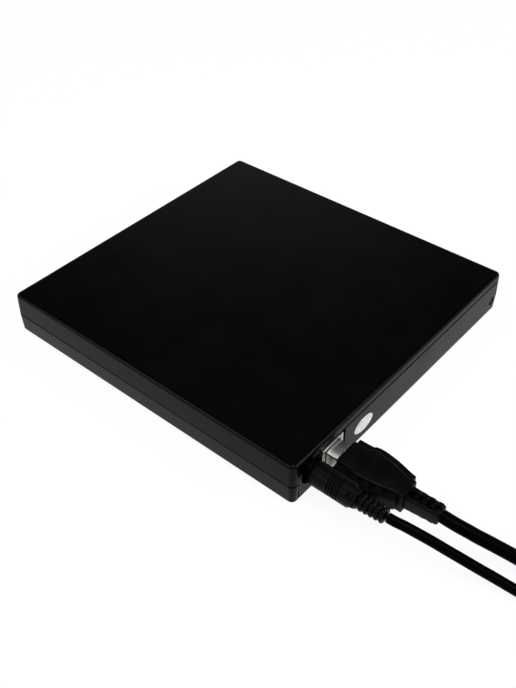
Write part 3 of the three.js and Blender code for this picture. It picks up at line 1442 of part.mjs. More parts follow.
layFarPlug('usb_far_plug', farPlugBody(usbCordDiameter), softPlastic, usbEnd);
layFarPlug('usb_far_shell', farShell(), plated, usbEnd);
layFarPlug('dc_far_plug', farPlugBody(dcCordDiameter), softPlastic, dcEnd);
layFarPlug('dc_far_shell', farShell(), plated, dcEnd);

export default drive;
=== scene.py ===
"""Looks of an external disc drive: a slim tray drive in a black moulded case, with its data and power
cables plugged in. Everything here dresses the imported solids. Lengths are in millimetres until a piece
is finished, and its mesh is then brought to metres."""

import math

import bmesh
import bpy
from mathutils import Matrix, Vector


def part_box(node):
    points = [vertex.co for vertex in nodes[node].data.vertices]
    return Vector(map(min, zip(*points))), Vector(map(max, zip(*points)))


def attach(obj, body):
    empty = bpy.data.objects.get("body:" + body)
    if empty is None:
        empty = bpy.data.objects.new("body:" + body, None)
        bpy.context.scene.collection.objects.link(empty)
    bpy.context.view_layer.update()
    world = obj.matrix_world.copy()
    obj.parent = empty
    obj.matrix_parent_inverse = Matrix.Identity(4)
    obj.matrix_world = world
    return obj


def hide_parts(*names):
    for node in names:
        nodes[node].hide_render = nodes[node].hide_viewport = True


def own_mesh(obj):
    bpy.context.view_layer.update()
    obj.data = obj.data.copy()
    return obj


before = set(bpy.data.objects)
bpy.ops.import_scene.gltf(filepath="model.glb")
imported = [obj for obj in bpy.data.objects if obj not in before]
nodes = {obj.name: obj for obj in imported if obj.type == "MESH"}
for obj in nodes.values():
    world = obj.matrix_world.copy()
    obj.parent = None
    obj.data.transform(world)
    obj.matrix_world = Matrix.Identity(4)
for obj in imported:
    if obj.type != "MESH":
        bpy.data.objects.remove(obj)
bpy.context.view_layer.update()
METRE = 0.001
TURN = 2 * math.pi
QUARTER_TURN = TURN / 4

# Places of the sockets and cables, as the solids have them
HALF_DEPTH = 73.0
DATA_AXIS = Vector((48.2, 0, 9.6))
POWER_AXIS = Vector((60.2, 0, 11.0))
DATA_PLUG_START = 78.5
DATA_PLUG_LENGTH = 38.4
DATA_RELIEF_RISE = 1.0
DATA_SHELL_WIDTH = 8.0
DATA_SHELL_HEIGHT = 7.25
DATA_SHELL_LENGTH = 11.7
DATA_SHELL_CORNER = 2.0
DATA_SHEET = 0.4
DATA_OPENING_GAP = 0.5
POWER_PLUG_START = 70.9
POWER_PLUG_LENGTH = 33.1
DATA_CORD = 4.8
POWER_CORD = 3.7
CORD_GAP = 0.3
COIL_GAP = 0.6
FAR_PLUG_LEVEL = 3.9


def placed(name, data):
    """A new object in the scene."""
    thing = bpy.data.objects.new(name, data)
    bpy.context.scene.collection.objects.link(thing)
    return thing


# Camera, at the place from which the photograph was taken, in metres

CAMERA_PLACE = Vector((0.22043, 0.18675, 0.24377))
CAMERA_LOOK = Vector((-0.56611, -0.48446, -0.66695))
CAMERA_RIGHT = Vector((-0.6454, 0.76381, -0.0070))
FOCAL_LENGTH = 46.32
SENSOR_WIDTH = 36
CLIP_START = 0.01


def place_camera():
    look = CAMERA_LOOK.normalized()
    right = (CAMERA_RIGHT - look * CAMERA_RIGHT.dot(look)).normalized()
    up = right.cross(look)
    camera = placed("camera", bpy.data.cameras.new("camera"))
    camera.data.lens = FOCAL_LENGTH
    camera.data.sensor_width = SENSOR_WIDTH
    camera.data.clip_start = CLIP_START
    camera.matrix_world = Matrix((
        (right.x, up.x, -look.x, CAMERA_PLACE.x),
        (right.y, up.y, -look.y, CAMERA_PLACE.y),
        (right.z, up.z, -look.z, CAMERA_PLACE.z),
        (0, 0, 0, 1),
    ))
    bpy.context.scene.camera = camera


place_camera()


# Materials

# Most of a noise texture's values lie between these two
NOISE_LOW, NOISE_HIGH = 0.3, 0.7
METAL_PATCH = 14.0
# The scale of rolling lines along the sheet, as a share of that across it
ROLLED = 0.02
TRACK_PITCH = 9.0
TRACK_HEIGHT = 0.03


def linear(colour):
    """An sRGB hex colour as the linear values that a shader takes."""
    parts = [int(colour[i:i + 2], 16) / 255 for i in (1, 3, 5)]
    return [c / 12.92 if c <= 0.04045 else ((c + 0.055) / 1.055) ** 2.4 for c in parts] + [1.0]


def add(tree, kind, settings=None, links=None):
    """Adds a node; settings are its inputs or its own values, links go into its inputs."""
    node = tree.nodes.new(kind)
    for name, value in (settings or {}).items():
        if isinstance(name, int) or name in node.inputs:
            node.inputs[name].default_value = value
        else:
            setattr(node, name, value)
    for name, source in (links or {}).items():
        tree.links.new(source, node.inputs[name])
    return node


def blank(name):
    """A material with only its shader and output, and the object's own coordinates."""
    material = bpy.data.materials.new(name)
    material.use_nodes = True
    tree = material.node_tree
    tree.nodes.clear()
    shader = add(tree, "ShaderNodeBsdfPrincipled")
    add(tree, "ShaderNodeOutputMaterial", links={"Surface": shader.outputs["BSDF"]})
    place = add(tree, "ShaderNodeTexCoord").outputs["Object"]
    return material, tree, shader, place


def two_tones(tree, factor, tones, low_at=NOISE_LOW, high_at=NOISE_HIGH):
    """A colour that runs from one tone to the other as the factor rises."""
    ramp = add(tree, "ShaderNodeValToRGB", links={"Fac": factor})
    first, second = ramp.color_ramp.elements
    first.color, first.position = linear(tones[0]), low_at
    second.color, second.position = linear(tones[1]), high_at
    return ramp.outputs["Color"]


def per_metre(grain):
    """The noise scale that gives a grain of so many millimetres."""
    return 1 / (grain * METRE)


def moulded(name, tones, rough, grain, depth, ior, patch=18.0):
    """A moulded plastic: two close tones in wide patches, and the grain of its mould as a bump."""
    material, tree, shader, place = blank(name)
    shader.inputs["IOR"].default_value = ior
    wide = add(tree, "ShaderNodeTexNoise", {"Scale": per_metre(patch), "Detail": 4.0}, {"Vector": place})
    fine = add(tree, "ShaderNodeTexNoise", {"Scale": per_metre(grain), "Detail": 2.0, "Roughness": 0.6},
               {"Vector": place})
    gloss = add(tree, "ShaderNodeMapRange",
                {"From Min": NOISE_LOW, "From Max": NOISE_HIGH, "To Min": rough[0], "To Max": rough[1]},
                {"Value": wide.outputs["Fac"]})
    bump = add(tree, "ShaderNodeBump", {"Strength": 0.6, "Distance": depth * METRE},
               {"Height": fine.outputs["Fac"]})
    tree.links.new(two_tones(tree, wide.outputs["Fac"], tones), shader.inputs["Base Color"])
    tree.links.new(gloss.outputs["Result"], shader.inputs["Roughness"])
    tree.links.new(bump.outputs["Normal"], shader.inputs["Normal"])
    return material


def metal(name, tones, rough, grain, depth, rolled_along_y=False):
    """A metal surface with its fine rolling or drawing lines, or with an even grain."""
    material, tree, shader, place = blank(name)
    shader.inputs["Metallic"].default_value = 1.0
    lines = add(tree, "ShaderNodeMapping", {"Scale": (1, ROLLED if rolled_along_y else 1, 1)},
                {"Vector": place})
    wide = add(tree, "ShaderNodeTexNoise", {"Scale": per_metre(METAL_PATCH), "Detail": 5.0},
               {"Vector": place})
    fine = add(tree, "ShaderNodeTexNoise", {"Scale": per_metre(grain), "Detail": 3.0},
               {"Vector": lines.outputs["Vector"]})
    gloss = add(tree, "ShaderNodeMapRange",
                {"From Min": NOISE_LOW, "From Max": NOISE_HIGH, "To Min": rough[0], "To Max": rough[1]},
                {"Value": fine.outputs["Fac"]})
    bump = add(tree, "ShaderNodeBump", {"Strength": 0.4, "Distance": depth * METRE},
               {"Height": fine.outputs["Fac"]})
    tree.links.new(two_tones(tree, wide.outputs["Fac"], tones), shader.inputs["Base Color"])
    tree.links.new(gloss.outputs["Result"], shader.inputs["Roughness"])
    tree.links.new(bump.outputs["Normal"], shader.inputs["Normal"])
    return material


def solder_mask():
    """Green solder mask over copper tracks, which show as raised paler lines 0.4 mm wide."""
    material, tree, shader, place = blank("green_solder_mask")
    tracks = add(tree, "ShaderNodeTexBrick",
                 {"Scale": per_metre(TRACK_PITCH), "Mortar Size": 0.045, "Brick Width": 0.9,
                  "Row Height": 0.22, "Mortar Smooth": 0.1}, {"Vector": place})
    bump = add(tree, "ShaderNodeBump", {"Strength": 0.5, "Distance": TRACK_HEIGHT * METRE},
               {"Height": tracks.outputs["Fac"]})
    tree.links.new(two_tones(tree, tracks.outputs["Fac"], ("#12432c", "#2c6d47"), 0.2, 0.8),
                   shader.inputs["Base Color"])
    tree.links.new(bump.outputs["Normal"], shader.inputs["Normal"])
    shader.inputs["Roughness"].default_value = 0.32
    return material


def lamp_pipe():
    """Frosted green polycarbonate of the lamp's light pipe."""
    material, tree, shader, place = blank("lamp_polycarbonate")
    cloud = add(tree, "ShaderNodeTexNoise", {"Scale": per_metre(0.8), "Detail": 3.0}, {"Vector": place})
    tree.links.new(two_tones(tree, cloud.outputs["Fac"], ("#7fae83", "#a9cfa9")),
                   shader.inputs["Base Color"])
    shader.inputs["Roughness"].default_value = 0.25
    shader.inputs["Transmission Weight"].default_value = 0.5
    shader.inputs["IOR"].default_value = 1.58
    return material


def lens_glass():
    """Moulded lens with a violet anti-reflection coating. Its colour is deeper where it faces the eye and
    paler towards its rim, a painted sheen for the coating's slanting reflection.
    """
    material, tree, shader, place = blank("coated_lens")
    # The violet tint is the coating's own; its paling towards grazing angles is painted sheen
    rim = add(tree, "ShaderNodeLayerWeight", {"Blend": 0.35})
    tree.links.new(two_tones(tree, rim.outputs["Facing"], ("#241a52", "#8a6bd6"), 0.1, 0.9),
                   shader.inputs["Base Color"])
    shader.inputs["Roughness"].default_value = 0.04
    shader.inputs["IOR"].default_value = 1.6
    shader.inputs["Coat Weight"].default_value = 1.0
    return material


# Black ABS from a spark-eroded mould: an even fine grain that breaks up its gloss
shell_abs = moulded("grained_black_abs", ("#030303", "#050505"), rough=(0.2, 0.26), grain=0.45,
                    depth=0.006, ior=1.16)
# The same ABS in a greyer batch for the rear panel
panel_abs = moulded("rear_panel_abs", ("#060606", "#090909"), rough=(0.26, 0.34), grain=0.5, depth=0.008,
                    ior=1.15)
# Polished-mould ABS of the bezel and button, with a slight gloss
bezel_abs = moulded("bezel_abs", ("#060607", "#0a0a0b"), rough=(0.24, 0.32), grain=0.4, depth=0.008,
                    ior=1.28)
# Glass-filled tray plastic: grey, dull and faintly mottled
tray_plastic = moulded("tray_polycarbonate", ("#222325", "#2a2b2d"), rough=(0.45, 0.55), grain=0.4,
                       depth=0.015, ior=1.45)
# Soft PVC overmould of the plugs: a satin skin with small flow marks
plug_pvc = moulded("plug_pvc", ("#030303", "#060606"), rough=(0.34, 0.44), grain=0.6, depth=0.015,
                   ior=1.16, patch=5.0)
# PVC cord sheath: drawn smooth, so a little glossier
sheath_pvc = moulded("cord_sheath_pvc", ("#010101", "#030303"), rough=(0.3, 0.4), grain=0.9, depth=0.012,
                     ior=1.08, patch=9.0)
# Neoprene feet and dampers: dull, with a dusty bloom
neoprene = moulded("neoprene", ("#131313", "#1c1c1b"), rough=(0.75, 0.9), grain=0.5, depth=0.03, ior=1.5,
                   patch=4.0)
# Black PBT of the sockets and connector
connector_pbt = moulded("connector_pbt", ("#0f1011", "#161718"), rough=(0.4, 0.5), grain=0.35, depth=0.01,
                        ior=1.55)
# The same PBT deep in the data socket, made darker and duller: painted shade for the gap round the plug
painted_shade_pbt = moulded("socket_liner_pbt", ("#020202", "#040404"), rough=(0.7, 0.8), grain=0.35, depth=0.01,
                     ior=1.15)
# Chip packages: dull epoxy
chip_epoxy = moulded("chip_epoxy", ("#161617", "#1e1e20"), rough=(0.5, 0.6), grain=0.25, depth=0.01,
                     ior=1.55, patch=3.0)
# Coated white sticker paper: a soft sheen and a trace of fibre
label_paper = moulded("coated_label_paper", ("#f0f0ee", "#f8f8f6"), rough=(0.45, 0.55), grain=0.3,
                      depth=0.006, ior=1.45)
# Bright nickel over brass or steel: faintly yellow and nearly a mirror
nickel = metal("bright_nickel_plate", ("#c4c3bf", "#dbdad6"), rough=(0.15, 0.22), grain=0.5, depth=0.002)
# The same plate on the pressed data plug: its drawing lines run along the plug and widen its gloss
plug_nickel = metal("drawn_nickel_plate", ("#b9b8b4", "#cfceca"), rough=(0.27, 0.36), grain=0.3,
                    depth=0.001, rolled_along_y=True)
# Duller nickel of the socket, which is stamped from matt strip
dull_nickel = metal("matt_nickel_plate", ("#a3a29e", "#b6b5b1"), rough=(0.32, 0.42), grain=0.5, depth=0.001)
# Zinc-plated sheet with the rolling lines along the drive
zinc_sheet = metal("zinc_plated_sheet", ("#8f9193", "#a9abac"), rough=(0.28, 0.42), grain=0.35,
                   depth=0.006, rolled_along_y=True)
# Unpolished galvanised sheet under the tray: a dull, darker grey
dull_sheet = metal("galvanised_underside_sheet", ("#66686b", "#787b7e"), rough=(0.5, 0.62), grain=0.35,
                   depth=0.006, rolled_along_y=True)
# Phosphated black steel of the screws and the mechanism's frame
black_steel = metal("phosphated_steel", ("#2a2b2d", "#353638"), rough=(0.35, 0.5), grain=0.4, depth=0.01)
# Ground and polished rods
ground_steel = metal("ground_rod_steel", ("#c3c5c7", "#d6d8d9"), rough=(0.12, 0.2), grain=0.3, depth=0.002)
board_mask = solder_mask()
lamp_clear = lamp_pipe()
lens_coated = lens_glass()


# Pieces

SHARP_FROM = 35.0
DOUBLES_WITHIN = 0.0005
WELD_WITHIN = 0.002
FLAT_WITHIN = 0.5
BROKEN_EDGE = 0.1


def mesh_of(name, bm):
    """The bmesh as a mesh; the bmesh is used up."""
    mesh = bpy.data.meshes.new(name)
    bm.to_mesh(mesh)
    bm.free()
    return mesh


def finished(name, bm, material, body="case", stands_for=(), sharp_from=SHARP_FROM):
    """Makes the piece from a bmesh in millimetres, closes its normals and lets it ride on its body."""
    bmesh.ops.remove_doubles(bm, verts=bm.verts, dist=DOUBLES_WITHIN)
    bmesh.ops.recalc_face_normals(bm, faces=bm.faces)
    bmesh.ops.scale(bm, verts=bm.verts, vec=(METRE, METRE, METRE))
    mesh = mesh_of(name, bm)
    mesh.shade_smooth()
    mesh.set_sharp_from_angle(angle=math.radians(sharp_from))
    mesh.materials.append(material)
    piece = placed(name, mesh)
    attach(piece, body)
    if stands_for:
        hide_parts(*stands_for)
    return piece


def dress(node, material):
    """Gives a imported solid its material, joins its triangles and breaks its sharp edges by a hair."""
    piece = nodes[node]
    piece.data.materials.clear()
    piece.data.materials.append(material)
    piece.data.shade_smooth()
    weld = piece.modifiers.new("weld", "WELD")
    weld.merge_threshold = WELD_WITHIN * METRE
    flat = piece.modifiers.new("flat", "DECIMATE")
    flat.decimate_type = "DISSOLVE"
    flat.angle_limit = math.radians(FLAT_WITHIN)
    bevel = piece.modifiers.new("edges", "BEVEL")
    bevel.width = BROKEN_EDGE * METRE
    bevel.segments = 2
    bevel.limit_method = "ANGLE"
    bevel.angle_limit = math.radians(SHARP_FROM)
    piece.modifiers.new("normals", "WEIGHTED_NORMAL").weight = 80


# Cords, each one line from its plug to its far plug

LINE_STEP = 1.2
STEPS_A_TURN = 48
TAIL_STEPS = 12
LEVELLING_STEPS = 10


def smooth_line(points):
    """A centripetal Catmull-Rom line through the points, as the solids' cords follow."""
    first = points[0] * 2 - points[1]
    last = points[-1] * 2 - points[-2]
    ends = [first, *points, last]
    line = []
    for i in range(1, len(ends) - 2):
        a, b, c, d = ends[i - 1:i + 3]
        t1 = (b - a).length ** 0.5
        t2 = t1 + (c - b).length ** 0.5
        t3 = t2 + (d - c).length ** 0.5
        count = max(1, math.ceil((c - b).length / LINE_STEP))
        for k in range(count):
            t = t1 + (t2 - t1) * k / count
            ab = a * ((t1 - t) / t1) + b * (t / t1)
            bc = b * ((t2 - t) / (t2 - t1)) + c * ((t - t1) / (t2 - t1))
            cd = c * ((t3 - t) / (t3 - t2)) + d * ((t - t2) / (t3 - t2))
            abc = ab * ((t2 - t) / t2) + bc * (t / t2)
            bcd = bc * ((t3 - t) / (t3 - t1)) + cd * ((t - t1) / (t3 - t1))
            line.append(abc * ((t2 - t) / (t2 - t1)) + bcd * ((t - t1) / (t2 - t1)))
    return [*line, points[-1]]


def smoothstep(value, low, high):
    share = min(max((value - low) / (high - low), 0), 1)
    return share * share * (3 - 2 * share)


def coil_line(middle, diameter, radius, turns, start, turning, tail):
    """A neat coil of two layers, wound in along the lower and out along the upper, and its straight
    tail, which levels out at the height of the far plug."""
    pitch = diameter + COIL_GAP
    layer = (turns - 0.5) / 2
    outer = radius + pitch * layer / 2
    steps = round(turns * STEPS_A_TURN)
    line = []
    for step in range(steps + 1):
        turn = step / steps * turns
        back = min(max(2 * (turn - layer), 0), 1)
        wound = min(turn, layer) - max(turn - layer - 0.5, 0) + (back - back * back) / 2
        ring = outer - pitch * wound
        angle = start + turning * turn * TURN
        line.append(Vector((middle[0] + ring * math.cos(angle), middle[1] + ring * math.sin(angle),
                            diameter / 2 + pitch * smoothstep(back, 0, 1))))
    heading = line[-1] - line[-2]
    heading.z = 0
    heading.normalize()
    end = line[-1].copy()
    for step in range(1, TAIL_STEPS + 1):
        share = step / TAIL_STEPS
        x = min(max(share * TAIL_STEPS / LEVELLING_STEPS, 0), 1)
        level = end.z + (FAR_PLUG_LEVEL - end.z) * x * x * x * (x * (6 * x - 15) + 10)
        line.append(Vector((end.x + heading.x * share * tail, end.y + heading.y * share * tail, level)))
    return line


def free_stretch(shares, diameter, start, coil_y):
    """Points of a free stretch, from shares of its way as the solids have them: across in diameters,
    then the shares of the way to the coil and of the height above the table."""
    return [Vector((start.x + across * diameter, start.y + (coil_y - start.y) * way,
                    diameter / 2 + (start.z - diameter / 2) * level)) for across, way, level in shares]


def lay_cord(name, points, coil, diameter, replaced):
    """The whole cord as one curve; returns it with the place and heading of its far end."""
    inward = coil[0] - coil[1]
    inward.z = 0
    inward.normalize()
    meeting = coil[0] + inward * diameter
    ends = [meeting + inward * (CORD_GAP + diameter), meeting + inward * CORD_GAP]
    line = smooth_line(points + ends) + [meeting] + coil
    curve = bpy.data.curves.new(name, "CURVE")
    curve.dimensions = "3D"
    curve.bevel_depth = diameter / 2 * METRE
    curve.bevel_resolution = 5
    curve.use_fill_caps = True
    spline = curve.splines.new("POLY")
    spline.points.add(len(line) - 1)
    for point, place in zip(spline.points, line):
        point.co = (*(place * METRE), 1)
    spline.use_smooth = True
    curve.materials.append(sheath_pvc)
    cord = placed(name, curve)
    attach(cord, "case")
    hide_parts(*replaced)
    heading = line[-1] - line[-2]
    return cord, line[-1], math.atan2(heading.y, heading.x)


DATA_WAY = [
    (0, 0, 1), (0, 0.058, 0.99), (-0.06, 0.107, 0.95), (-0.17, 0.156, 0.89), (-0.31, 0.215, 0.8),
    (-0.48, 0.264, 0.71), (-0.69, 0.333, 0.59), (-0.9, 0.392, 0.46), (-1.08, 0.45, 0.34),
    (-1.21, 0.509, 0.22), (-1.27, 0.578, 0.12), (-1.23, 0.637, 0.05), (-1.1, 0.696, 0.01),
    (-0.94, 0.745, 0)]
POWER_WAY = [
    (0, 0, 1), (-0.05, 0.03, 0.99), (-0.19, 0.06, 0.97), (-0.35, 0.1, 0.92), (-0.54, 0.14, 0.85),
    (-0.76, 0.18, 0.75), (-1, 0.23, 0.63), (-1.27, 0.28, 0.5), (-1.54, 0.34, 0.37), (-1.81, 0.39, 0.25),
    (-2.05, 0.45, 0.14), (-2.24, 0.51, 0.06), (-2.35, 0.58, 0.02), (-2.38, 0.65, 0), (-2.32, 0.71, 0),
    (-2.24, 0.78, 0)]
DATA_COIL_MIDDLE = (13.0, 176.0)
DATA_COIL_RADIUS = 26.5
DATA_COIL_TURNS = 4.375
DATA_TAIL = 26.0
POWER_COIL_MIDDLE = (75.3, 195.0)
POWER_COIL_RADIUS = 19.4
POWER_COIL_TURNS = 4.0833
POWER_TAIL = 22.0
data_exit = Vector((DATA_AXIS.x, DATA_PLUG_START + DATA_PLUG_LENGTH + CORD_GAP,
                    DATA_AXIS.z + DATA_RELIEF_RISE))
power_exit = Vector((POWER_AXIS.x, POWER_PLUG_START + POWER_PLUG_LENGTH + CORD_GAP, POWER_AXIS.z))
data_cord, data_end, data_turn = lay_cord(
    "data_cord", free_stretch(DATA_WAY, DATA_CORD, data_exit, DATA_COIL_MIDDLE[1]),
    coil_line(DATA_COIL_MIDDLE, DATA_CORD, DATA_COIL_RADIUS, DATA_COIL_TURNS, 0, 1, DATA_TAIL),
    DATA_CORD, ("usb_cord", "usb_coil"))
power_cord, power_end, power_turn = lay_cord(
    "power_cord", free_stretch(POWER_WAY, POWER_CORD, power_exit, POWER_COIL_MIDDLE[1]),
    coil_line(POWER_COIL_MIDDLE, POWER_CORD, POWER_COIL_RADIUS, POWER_COIL_TURNS, math.pi, -1, POWER_TAIL),
    POWER_CORD, ("dc_cord", "dc_coil"))


# Shapes that several pieces share

def verts_of(made):
    """The vertices among what an operator has made."""
    return [g for g in made["geom"] if isinstance(g, bmesh.types.BMVert)]


def move(bm, step, verts=None):
    bmesh.ops.translate(bm, verts=bm.verts if verts is None else verts, vec=step)


def swing(bm, angle, axis):
    """Turns the whole shape about an axis through the origin."""
    bmesh.ops.rotate(bm, verts=bm.verts, cent=(0, 0, 0), matrix=Matrix.Rotation(angle, 3, axis))


def absorb(bm, part):
    """Adds a part to a bmesh; the part is used up."""
    mesh = mesh_of("part", part)
    bm.from_mesh(mesh)
    bpy.data.meshes.remove(mesh)


def drawn(bm, stations, radius, corner=4):
    """Adds a body of rounded-rectangle section drawn along Y; a station has its place, half width, half
    height and, where its middle lies off the axis, its rise."""
    shape = bmesh.new()
    y, half_x, half_z, *rise = stations[0]
    level = sum(rise)
    bmesh.ops.create_grid(shape, x_segments=1, y_segments=1, size=1)
    bmesh.ops.scale(shape, verts=shape.verts, vec=(half_x, half_z, 1))
    bmesh.ops.bevel(shape, geom=shape.verts, offset=radius, segments=corner, profile=0.5,
                    affect="VERTICES", material=-1)
    swing(shape, QUARTER_TURN, "X")
    move(shape, (0, y, level))
    end = shape.faces[:]
    for next_y, next_x, next_z, *rise in stations[1:]:
        made = bmesh.ops.extrude_face_region(shape, geom=end)
        end = [g for g in made["geom"] if isinstance(g, bmesh.types.BMFace)]
        verts = end[0].verts[:]
        bmesh.ops.scale(shape, verts=verts, vec=(next_x / half_x, 1, next_z / half_z),
                        space=Matrix.Translation((0, 0, -level)))
        move(shape, (0, next_y - y, sum(rise) - level), verts)
        y, half_x, half_z, level = next_y, next_x, next_z, sum(rise)
    absorb(bm, shape)


def block(bm, low, high, edge=0.0, segments=2):
    """A block between two corners, its edges rounded."""
    low, high = Vector(low), Vector(high)
    verts = bmesh.ops.create_cube(bm, size=1)["verts"]
    bmesh.ops.scale(bm, verts=verts, vec=high - low)
    move(bm, (high + low) / 2, verts)
    if edge:
        edges = list(dict.fromkeys(e for v in verts for e in v.link_edges))
        bmesh.ops.bevel(bm, geom=edges, offset=edge, segments=segments, profile=0.5, affect="EDGES",
                        material=-1)


def turned(bm, profile, steps, axis="Y"):
    """A round body spun from its profile of [radius, place along the axis]."""
    along = (0, 1, 0) if axis == "Y" else (0, 0, 1)
    verts = [bm.verts.new((radius, along[1] * place, along[2] * place)) for radius, place in profile]
    edges = [bm.edges.new(pair) for pair in zip(verts, verts[1:])]
    bmesh.ops.spin(bm, geom=verts + edges, cent=(0, 0, 0), axis=along, angle=TURN, steps=steps,
                   use_merge=True)
    bmesh.ops.remove_doubles(bm, verts=bm.verts, dist=DOUBLES_WITHIN)


def hollow(bm, wall, way):
    """Cuts the middle out of a flat face, which leaves a wall round it, and draws that into a tube."""
    bm.normal_update()
    middle = bm.faces[:]
    bmesh.ops.inset_region(bm, faces=middle, thickness=wall, use_boundary=True, use_even_offset=True)
    bmesh.ops.delete(bm, geom=middle, context="FACES")
    move(bm, way, verts_of(bmesh.ops.extrude_face_region(bm, geom=bm.faces[:])))


def cut_across(bm, places, axis):
    """Cuts the faces of a mesh at places along an axis, so that parts of them can be sunk."""
    normal = Vector((axis == "x", axis == "y", axis == "z"))
    for place in places:
        bmesh.ops.bisect_plane(bm, geom=bm.verts[:] + bm.edges[:] + bm.faces[:], plane_co=normal * place,
                               plane_no=normal)


def sink(bm, faces, step):
    """Moves a region of faces in by a step."""
    move(bm, step, verts_of(bmesh.ops.extrude_face_region(bm, geom=faces)))


# Data plug: a soft overmould, drawn in to a windowed strain relief, with a sunk grip along each side

# Place along the plug, half width and half height
DATA_BODY = [
    (0, 5.4, 5.0), (0.25, 5.6, 5.15), (2.6, 5.65, 5.2), (5.8, 5.8, 5.2), (6.2, 5.95, 5.2), (6.6, 6.35, 5.2),
    (7.2, 6.55, 5.2), (8.1, 6.75, 5.2), (9.6, 6.8, 5.2), (11.8, 6.65, 5.15), (14.0, 6.35, 5.1),
    (16.2, 5.95, 5.0), (18.4, 5.4, 4.9), (20.6, 4.8, 4.7), (22.8, 4.25, 4.5), (24.2, 4.0, 4.4)]
# The same of the collar behind it, with its rise
DATA_COLLAR = [(23.9, 4.0, 4.1, 0.4), (24.05, 4.3, 4.4, 0.4), (25.75, 4.3, 4.4, 0.4),
               (25.95, 4.1, 4.15, 0.4)]
DATA_GRIP = (-1.2, 3.4)
DATA_GRIP_START, DATA_GRIP_END = 0.3, 24
DATA_GRIP_DEPTH = 2.7
# The insulator that reaches through the metal shell, between its two corners
DATA_INSULATOR = ((-2.0, -12.0, -3.3), (2.0, 0.3, -1.9))
RELIEF_START = 25.7
WINDOW_START = 26.9
WINDOW_PITCH = 1.58
WINDOW_CUTS = 8
WINDOW_WIDTH = 1.7
WINDOW_DEPTH = 1.3
SEAM_LEFT, SEAM_RIGHT = -0.75, -0.6
LINER_DEPTH = 5.6


def data_relief():
    """The strain relief: a tapering bar with two staggered rows of small windows above and below."""
    bm = bmesh.new()
    end = DATA_PLUG_LENGTH
    drawn(bm, [(RELIEF_START, 3.15, 3.15, 0.3), (end - 0.4, 2.74, 2.74, 0.98),
               (end, 2.55, 2.55, DATA_RELIEF_RISE)], 0.8)
    cuts = [WINDOW_START + WINDOW_PITCH * cut for cut in range(WINDOW_CUTS)]
    cut_across(bm, cuts, "y")
    cut_across(bm, (-WINDOW_WIDTH, 0, WINDOW_WIDTH), "x")
    for row, (low, high) in enumerate(zip(cuts, cuts[1:])):
        side = 1 if row % 2 else -1
        for sign in (-1, 1):
            window = [f for f in bm.faces
                      if f.normal.z * sign > 0.9 and low < f.calc_center_median().y < high
                      and 0 < f.calc_center_median().x * side < WINDOW_WIDTH]
            sink(bm, window, (0, 0, -WINDOW_DEPTH * sign))
    return bm


def data_overmould():
    bm = bmesh.new()
    drawn(bm, DATA_BODY, 0.9)
    cut_across(bm, DATA_GRIP, "z")
    grip_low, grip_high = DATA_GRIP
    for sign in (-1, 1):
        grip = [f for f in bm.faces
                if f.normal.x * sign > 0.6 and grip_low < f.calc_center_median().z < grip_high
                and DATA_GRIP_START < f.calc_center_median().y < DATA_GRIP_END]
        sink(bm, grip, (-DATA_GRIP_DEPTH * sign, 0, 0))
    drawn(bm, DATA_COLLAR, 0.6)
    absorb(bm, data_relief())
    block(bm, *DATA_INSULATOR)
    move(bm, (DATA_AXIS.x, DATA_PLUG_START, DATA_AXIS.z))
    return finished("data_plug_overmould", bm, plug_pvc, stands_for=("usb_plug",))


def plug_shell():
    """The data plug's folded shell: its lower corners are cut off, and its top falls a little to the
    left."""
    bm = bmesh.new()
    half, top = DATA_SHELL_WIDTH / 2, DATA_SHELL_HEIGHT / 2
    cut = DATA_SHELL_CORNER * 0.8
    outline = [(half - cut, -top), (half, -top + cut), (half, top - 1.1), (half - 0.04, top - 0.8),
               (half - 0.18, top - 0.58), (half - 0.6, top - 0.42), (half - 1.2, top - 0.24),
               (half - 1.9, top - 0.09), (half - 2.7, top), (0.3 - half, top), (0.07 - half, top - 0.09),
               (-half, top - 0.3), (-half, -top + cut), (cut - half, -top)]
    bm.faces.new([bm.verts.new((x, 0, z)) for x, z in outline])
    hollow(bm, DATA_SHEET, (0, DATA_SHELL_LENGTH, 0))
    move(bm, (DATA_AXIS.x, DATA_PLUG_START - DATA_SHELL_LENGTH, DATA_AXIS.z))
    return finished("data_plug_shell", bm, plug_nickel, stands_for=("usb_plug_shell",))


def plug_seam():
    """The folded seam along the top of the data plug's metal shell."""
    bm = bmesh.new()
    top = DATA_SHELL_HEIGHT / 2
    block(bm, (SEAM_LEFT, HALF_DEPTH - 1, top - 0.02), (SEAM_RIGHT, DATA_PLUG_START, top + 0.04), 0.02)
    move(bm, (DATA_AXIS.x, 0, DATA_AXIS.z))
    finished("data_plug_seam", bm, nickel)


def socket_shade_liner():
    """A black sheet inside the data socket; it fills the gap round the plug's metal shell with painted
    shade.
    """
    bm = bmesh.new()
    reach = DATA_OPENING_GAP - 0.03
    bmesh.ops.create_grid(bm, x_segments=1, y_segments=1, size=1)
    bmesh.ops.scale(bm, verts=bm.verts, vec=(DATA_SHELL_WIDTH / 2 + reach, DATA_SHELL_HEIGHT / 2 + reach, 1))
    bmesh.ops.bevel(bm, geom=[v for v in bm.verts if v.co.y < 0], offset=DATA_SHELL_CORNER, segments=1,
                    profile=0.5, affect="VERTICES", material=-1)
    hollow(bm, reach - 0.06, (0, 0, LINER_DEPTH))
    swing(bm, QUARTER_TURN, "X")
    move(bm, (DATA_AXIS.x, HALF_DEPTH - 0.25, DATA_AXIS.z))
    # Painted shade: a dark sheet where the socket's opening only shows shade round the plug
    finished("data_socket_liner", bm, painted_shade_pbt)


data_plug = data_overmould()
data_shell = plug_shell()
plug_seam()
socket_shade_liner()


# Power plug: a round body with a grip of fine grooves, a thumb dimple on a pad, and a slim ribbed relief.
# The grip and the pad face up and outwards

